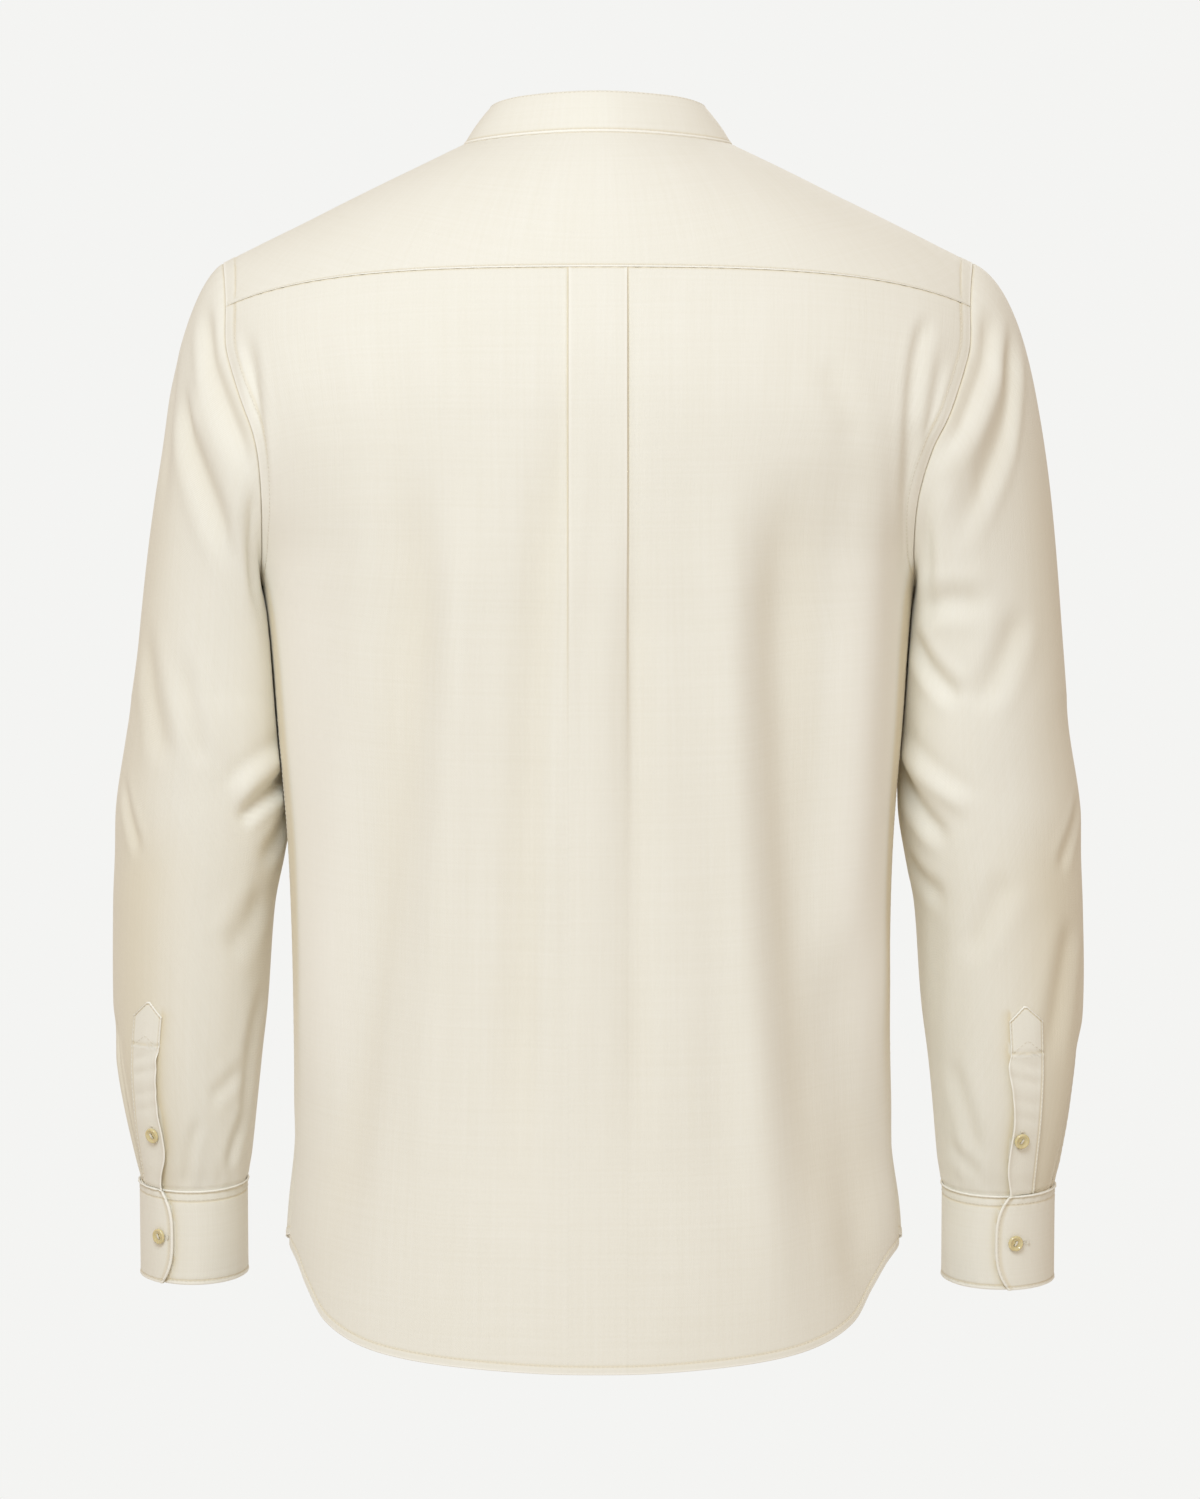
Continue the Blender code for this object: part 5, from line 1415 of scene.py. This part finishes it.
def tower(side):
    """A tower placket's points, directions and painted light and shade, in columns counterclockwise seen from
    above.
    """
    across = steps(0.022, BAND_EDGE, BAND_EDGE, 0.0022)[None]
    down = steps(0.112, BAND_EDGE, BAND_EDGE[:3], 0.0010)[:, None]
    peak = TOWER_POINT * (1 - np.abs(2 * across - 1))
    level = TOWER_LEVEL + peak + (WRIST_LEVEL + 3 * SEAM - TOWER_LEVEL - peak) * down
    gone, free, held_turn, free_turn = tower_place(level, side)
    turn = held_turn + (free_turn - held_turn) * across
    points, outward, _ = sleeves[side]
    row = len(cap_t) + np.interp(-level, -tube_level, np.arange(len(tube_level)))
    column = np.interp(turn, every_turn, np.arange(SLEEVE_COLUMNS + 1))
    if side < 0:
        column = SLEEVE_COLUMNS - 1 - column
    surface = on_grid(points, row, column)
    out = unit(on_grid(outward, np.minimum(row, len(points) - 6.0), column))
    if side < 0:
        surface, out = surface[:, ::-1], out[:, ::-1]
    from_top = travelled(surface, 0)
    along, back_along = both_ways(surface, 1)
    from_free, from_held = (back_along, along) if side > 0 else (along, back_along)
    free, level = (field if side > 0 else field[:, ::-1] for field in (free, level))
    from_bar = TOWER_LEVEL - TOWER_FREE[side] - level
    height = 0.0013 + 0.0014 * free * bell(from_free, 0.0035)
    height += 0.0006 * bell(from_free - 0.0008, 0.0008) * free
    for wrinkle, depth in ((0.0105, 0.0007), (0.0200, 0.0009), (0.0330, 0.0006), (0.0430, 0.0005)):
        height -= depth * bell(from_bar - wrinkle + 0.25 * from_held, 0.0032) * ease(from_held / 0.006)
    for distance, strength in ((from_held, 1.0), (from_top, 1.0), (from_free, 1 - free)):
        height += 0.0004 * strength * bell(distance - 0.0007, 0.0006)
        height -= 0.0004 * strength * bell(distance - EDGE_STITCH, 0.0005)
        height -= 0.0007 * strength * (1 - ease(distance / 0.0006))
    height += 0.0006 * bell(from_bar - 0.0008, 0.0010) - 0.0008 * bell(from_bar + 0.0006, 0.0008)
    height += 0.0004 * unevenness(from_top, along, 80 + side)
    # Painted highlights on the folds, painted shade in the stitch grooves and under the bar.
    painted_shading = (painted_edge_shading(from_held, EDGE_STITCH) + painted_edge_shading(from_top, EDGE_STITCH) + painted_edge_shading(from_free)
                - 0.55 * (1 - free) * bell(from_free - EDGE_STITCH, 0.0005)
                - 0.7 * bell(from_bar + 0.0004, 0.0010) + 0.4 * bell(from_bar - 0.0008, 0.0008))
    return *finish_panel(surface, out, height), painted_shading


towers = {side: tower(side) for side, _ in SIDES}
tower_pieces = {}
for side, word in SIDES:
    points, _, painted_shading = towers[side]
    tower_pieces[side] = add_sheet(f"sleeve_placket_{word}_cloth", points, 0.0010, band_cloth, painted_shading)

# %% [markdown]
# ## The stitching
#
# Now every lane gets its line of stitches. The lines are gathered by part of the shirt into a few pieces,
# so none grows too heavy.

# %% Sewing
body_thread, arm_thread = Thread(), Thread()
underarm_row = int((back[:, 0, 2] > UNDERARM_LEVEL).sum())


def sew_lane(thread, sheet, axis, end, inset, first=None, last=None):
    """Sew along a lane of a sheet, from its point `first` to its point `last`."""
    line, out = lane(*sheet, axis, end, inset)
    thread.sew(line[first:last], out[first:last])


back_sheet, yoke_sheet = (back, back_out), (yoke, yoke_normals)
for end in (0, 1):
    sew_lane(body_thread, back_sheet, 1, end, FELL)
    sew_lane(body_thread, yoke_sheet, 1, end, EDGE_STITCH, 2, -2)
    sew_lane(body_thread, (placket, placket_out), 1, end, PLACKET_STITCH, 2, -2)
    sew_lane(body_thread, (collar, collar_out), 0, end, EDGE_STITCH + 0.0003 * (1 - end), 6, -6)
sew_lane(body_thread, back_sheet, 0, 1, HEM_BAND, 3, -3)
sew_lane(body_thread, yoke_sheet, 0, 1, EDGE_STITCH, ARM_COLUMNS, -ARM_COLUMNS)
sew_lane(body_thread, yoke_sheet, 0, 1, FELL, 0, ARM_COLUMNS + 1)
sew_lane(body_thread, yoke_sheet, 0, 1, FELL, -ARM_COLUMNS - 1)
for side, _ in SIDES:
    far_end = 1 if side > 0 else 0
    front, band, strip = (sheets[side][:2] for sheets in (fronts, cuffs, towers))
    sew_lane(body_thread, front, 1, far_end, FELL, 0, underarm_row)
    sew_lane(body_thread, front, 0, 1, HEM_BAND, 3, -3)
    for end, inset in ((0, EDGE_STITCH), (0, CUFF_SECOND), (1, CUFF_HEM)):
        sew_lane(arm_thread, band, 0, end, inset, 7, -7)
    sew_lane(arm_thread, band, 1, far_end, CUFF_HEM, 6, -6)
    sew_lane(arm_thread, strip, 1, 1 - far_end, EDGE_STITCH, 5, -1)
    sew_lane(arm_thread, strip, 0, 0, EDGE_STITCH, 4, -4)
    points, outward = strip
    bar_level = TOWER_LEVEL - TOWER_FREE[side] - HANG[side] * 0.6
    row = int((points[:, len(points[0]) // 2, 2] > bar_level).sum())
    arm_thread.sew(points[row, 4:-4], outward[row, 4:-4])
    sew_lane(arm_thread, strip, 1, far_end, EDGE_STITCH, 5, row)
print(len(body_thread.points), "lines on the body,", len(arm_thread.points), "on the sleeves")

# %% [markdown]
# ## The buttons
#
# Each button is turned from pale horn: a domed disc with a raised rim, a shallow dish and two holes, tied
# on by a few strands of thread. A profile spun round an axis gives the disc, and the holes are dimples:
# every point of the surface near a hole is lowered by an eased wall. Cutting them with a Boolean would
# work too, but it leaves ragged shading round such small holes.

# %% Buttons, buttonholes and their thread
BUTTON_HALF, BUTTON_THICK, SMALL_BUTTON_HALF = 0.0056, 0.0024, 0.0049
BUTTON_PROFILE = table(
    "radius height",
    (0.00, 0.00), (0.62, 0.00), (0.86, 0.10), (0.97, 0.30), (1.00, 0.52), (0.965, 0.78), (0.90, 0.94),
    (0.82, 1.00), (0.74, 0.97), (0.66, 0.86), (0.58, 0.74), (0.50, 0.67), (0.42, 0.64), (0.36, 0.63),
    (0.30, 0.62), (0.25, 0.62), (0.20, 0.62), (0.15, 0.62), (0.10, 0.62), (0.05, 0.62), (0.00, 0.62),
)
BUTTON_SPOKES, HOLE_PLACE, HOLE_RADIUS, HOLE_DEPTH = 64, 0.24, 0.13, 0.50


def frame_of(outward, along):
    """Three directions at right angles: along, across and out."""
    out = unit(np.asarray(outward, float))
    one = unit(along - out * np.dot(along, out))
    return one, np.cross(out, one), out


def add_button(name, centre, outward, along, half):
    """A button lying on the cloth, its holes in a line with `along`."""
    knots = np.linspace(0, 1, len(BUTTON_PROFILE["radius"]))
    at = np.concatenate([np.linspace(0, 0.6, 26)[:-1], np.linspace(0.6, 1, 24)])
    radius = smooth(at, knots, BUTTON_PROFILE["radius"])[:, None]
    height = smooth(at, knots, BUTTON_PROFILE["height"])[:, None]
    spin = (np.arange(BUTTON_SPOKES) * 2 * math.pi / BUTTON_SPOKES)[None]
    x, y = radius * np.cos(spin), radius * np.sin(spin)
    hole = sum(1 - ease((np.hypot(x - centre_x, y) - HOLE_RADIUS) / 0.05)
               for centre_x in (-HOLE_PLACE, HOLE_PLACE))
    height = height - HOLE_DEPTH * hole * (at[:, None] > 0.5)
    one, two, out = frame_of(outward, along)
    points = (centre + (x * half)[..., None] * one + (y * half)[..., None] * two
              + ((height - 0.5) * BUTTON_THICK)[..., None] * out)
    rings = points[1:-1]
    index = np.arange(rings[..., 0].size).reshape(rings.shape[:2])
    bottom, top = index.size, index.size + 1
    fans = np.concatenate([
        np.stack([np.full(BUTTON_SPOKES, bottom), np.roll(index[0], -1), index[0]], axis=-1),
        np.stack([np.full(BUTTON_SPOKES, top), index[-1], np.roll(index[-1], -1)], axis=-1)])
    every = np.vstack([rings.reshape(-1, 3), points[0].mean(axis=0), points[-1].mean(axis=0)])
    piece = add_mesh(name, every, ring_quads(index) + fans.tolist())
    piece.data.materials.append(button_horn)
    return piece


def tie_button(thread, centre, outward, along, half):
    """Strands from hole to hole over the button's dish."""
    one, two, out = frame_of(outward, along)
    for shift in (-0.07, 0.0, 0.07):
        middle = centre + out * BUTTON_THICK * 0.30 + two * shift * half
        thread.add(*bars(middle[None], one[None], out[None], half * 3.2 * HOLE_PLACE, 0.00030))


def centre_of(node_name):
    """Middle of a CAD node's box."""
    low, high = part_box(node_name)
    return (np.array(low) + np.array(high)) / 2


def nearest_normal(points, outward, centre):
    """The direction out of a sheet at its point nearest to a place, and the step down its columns."""
    gap = np.linalg.norm(points - centre, axis=-1)
    row, column = np.unravel_index(gap.argmin(), gap.shape)
    row = min(max(row, 3), len(points) - 4)
    return outward[row, column], points[row + 3, column] - points[row - 3, column]


buttons = {}
button_thread = Thread()
for number in range(1, 8):
    buttons[f"front_button_{number}"] = (placket, placket_out, "down", BUTTON_HALF)
buttons["collar_button"] = (collar, collar_out, "across", BUTTON_HALF)
for side, word in SIDES:
    buttons[f"placket_button_{word}"] = (*towers[side][:2], "down", SMALL_BUTTON_HALF)
    buttons[f"cuff_button_{word}"] = (*cuffs[side][:2], "across", SMALL_BUTTON_HALF)
button_pieces = {}
TILT = {"left": 0.5, "right": -0.5}
HOLE_SHIFT = {"collar_button": -0.0022, "cuff_button_left": 0.0006, "cuff_button_right": 0.0032}
for name, (points, outward, way, half) in buttons.items():
    centre = centre_of(name)
    out, run = nearest_normal(points, outward, centre)
    along = unit(run) if way == "down" else unit(np.cross(out, run))
    lean = TILT.get(name.rsplit("_", 1)[1], 0.0)
    holes = math.cos(lean) * unit(run) + math.sin(lean) * unit(np.cross(out, run))
    button_pieces[name] = add_button(f"{name}_horn", centre, out, holes, half)
    tie_button(button_thread, centre, out, holes, half)
    base = centre - unit(out) * (BUTTON_THICK / 2 + 0.0001)
    offset = along * HOLE_SHIFT.get(name, 0.0)
    button_thread.bind(base + offset, along, out, 2.35 * half, 0.0023)
print(len(button_pieces), "buttons")

# %% Thread pieces
body_stitches = body_thread.finish("body_stitching", sewing_thread)
arm_stitches = arm_thread.finish("sleeve_stitching", sewing_thread)
button_stitches = button_thread.finish("button_thread", sewing_thread)

# %% [markdown]
# ## Joining the frame
#
# Every piece now rides on the one body, and the plain solid it stands for is hidden. The list also gives the
# size each sheet was cut to, its area and the piece it is sewn to, but nothing reads these. A sleeve's cut
# goes all the way round the arm. Allowances for the seams are left out, as they lie inside the seams.

# %% Pieces, bodies and cuts
cuts = [
    (back_piece, "back_panel", (0.500, 0.690), 0.315, ["yoke_cloth"]),
    (yoke_piece, "back_yoke", (0.500, 0.165), 0.062, ["collar_band_cloth"]),
    (front_pieces[1], "front_left", (0.275, 0.750), 0.165, ["yoke_cloth"]),
    (front_pieces[-1], "front_right", (0.290, 0.750), 0.180, ["yoke_cloth"]),
    (placket_piece, "front_placket", (0.035, 0.730), 0.0255, ["front_left_cloth"]),
    (collar_piece, "collar_band", (0.490, 0.030), 0.0145, ["yoke_cloth"]),
    (sleeve_pieces[1], "sleeve_left", (0.420, 0.590), 0.165, ["yoke_cloth"]),
    (sleeve_pieces[-1], "sleeve_right", (0.430, 0.590), 0.170, ["yoke_cloth"]),
    (tower_pieces[1], "sleeve_placket_left", (0.023, 0.118), 0.0026, ["sleeve_left_cloth"]),
    (tower_pieces[-1], "sleeve_placket_right", (0.023, 0.118), 0.0026, ["sleeve_right_cloth"]),
    (cuff_pieces[1], "cuff_left", (0.268, 0.060), 0.0158, ["sleeve_left_cloth"]),
    (cuff_pieces[-1], "cuff_right", (0.268, 0.060), 0.0158, ["sleeve_right_cloth"]),
]
for piece, solid_name, flat, area, holder in cuts:
    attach(piece, "root")
    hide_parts(solid_name)
for name, piece in button_pieces.items():
    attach(piece, "root")
    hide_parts(name)
for piece in (body_stitches, arm_stitches, button_stitches):
    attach(piece, "root")

# %% [markdown]
# ## Floor, light and camera
#
# The shirt hangs at shoulder height over a plain pale floor. The light is soft: a pale world all round it
# and a large lamp, high and to the left of the camera, that models the folds. Its twin does the same for
# the front. The camera looks level at the back from four metres, through a long lens.

# %% The floor
FLOOR_LEVEL, FLOOR_REACH, FLOOR_SIDES = -1.45, 3.0, 96
spin = np.arange(FLOOR_SIDES) * 2 * math.pi / FLOOR_SIDES
rim = np.stack([np.cos(spin) * FLOOR_REACH, np.sin(spin) * FLOOR_REACH, np.full(FLOOR_SIDES, FLOOR_LEVEL)],
               axis=-1)
floor = add_mesh("floor", rim, [list(range(FLOOR_SIDES))])
pale, _, pale_shader = new_finish("floor_paint")
pale_shader.inputs["Base Color"].default_value = (0.78, 0.76, 0.72, 1.0)
pale_shader.inputs["Roughness"].default_value = 0.9
floor.data.materials.append(pale)

# %% World and lamps
world = bpy.data.worlds.new("studio")
bpy.context.scene.world = world
world.use_nodes = True
PAPER = (0.905, 0.905, 0.890, 1.0)
SKY = (0.585, 0.497, 0.412, 1.0)
tree = world.node_tree
seen, around = tree.nodes["Background"], tree.nodes.new("ShaderNodeBackground")
seen.inputs["Color"].default_value = PAPER
around.inputs["Color"].default_value = SKY
choice, path = tree.nodes.new("ShaderNodeMixShader"), tree.nodes.new("ShaderNodeLightPath")
tree.links.new(path.outputs["Is Camera Ray"], choice.inputs[0])
tree.links.new(around.outputs[0], choice.inputs[1])
tree.links.new(seen.outputs[0], choice.inputs[2])
tree.links.new(choice.outputs[0], tree.nodes["World Output"].inputs["Surface"])
bpy.context.scene.view_settings.view_transform = "Standard"


def add_lamp(name, place_at, target, size, power, colour):
    """A square area lamp that faces a point."""
    lamp = bpy.data.lights.new(name, "AREA")
    lamp.size = size
    lamp.energy = power
    lamp.color = colour
    made = bpy.data.objects.new(name, lamp)
    bpy.context.scene.collection.objects.link(made)
    out = unit(np.array(place_at) - np.array(target))
    side = unit(np.cross((0.0, 0.0, 1.0), out))
    up = np.cross(out, side)
    made.matrix_world = [[*side, 0], [*up, 0], [*out, 0], [*place_at, 1]]   # column by column


DAYLIGHT, LAMP_SIZE, LIT_POINT = (0.87, 1.0, 1.13), 1.4, (0.0, 0.0, -0.20)
add_lamp("key", (0.60, 2.82, 1.60), LIT_POINT, LAMP_SIZE, 63, DAYLIGHT)
add_lamp("front", (-0.60, -2.82, 1.60), LIT_POINT, LAMP_SIZE, 24, DAYLIGHT)

# %% The camera
DISTANCE, MIDDLE_X, MIDDLE_Z = 4.0, -0.00124, -0.373
METRES_PER_PIXEL, PIXELS_HIGH, SENSOR = 0.00062, 1499, 24.0
camera_data = bpy.data.cameras.new("camera")
camera_data.sensor_fit = "VERTICAL"
camera_data.sensor_height = SENSOR
camera_data.lens = SENSOR * DISTANCE / (PIXELS_HIGH * METRES_PER_PIXEL)
camera = bpy.data.objects.new("camera", camera_data)
bpy.context.scene.collection.objects.link(camera)
camera.location = (MIDDLE_X, DISTANCE, MIDDLE_Z)
camera.rotation_euler = (math.pi / 2, 0.0, math.pi)
bpy.context.scene.camera = camera
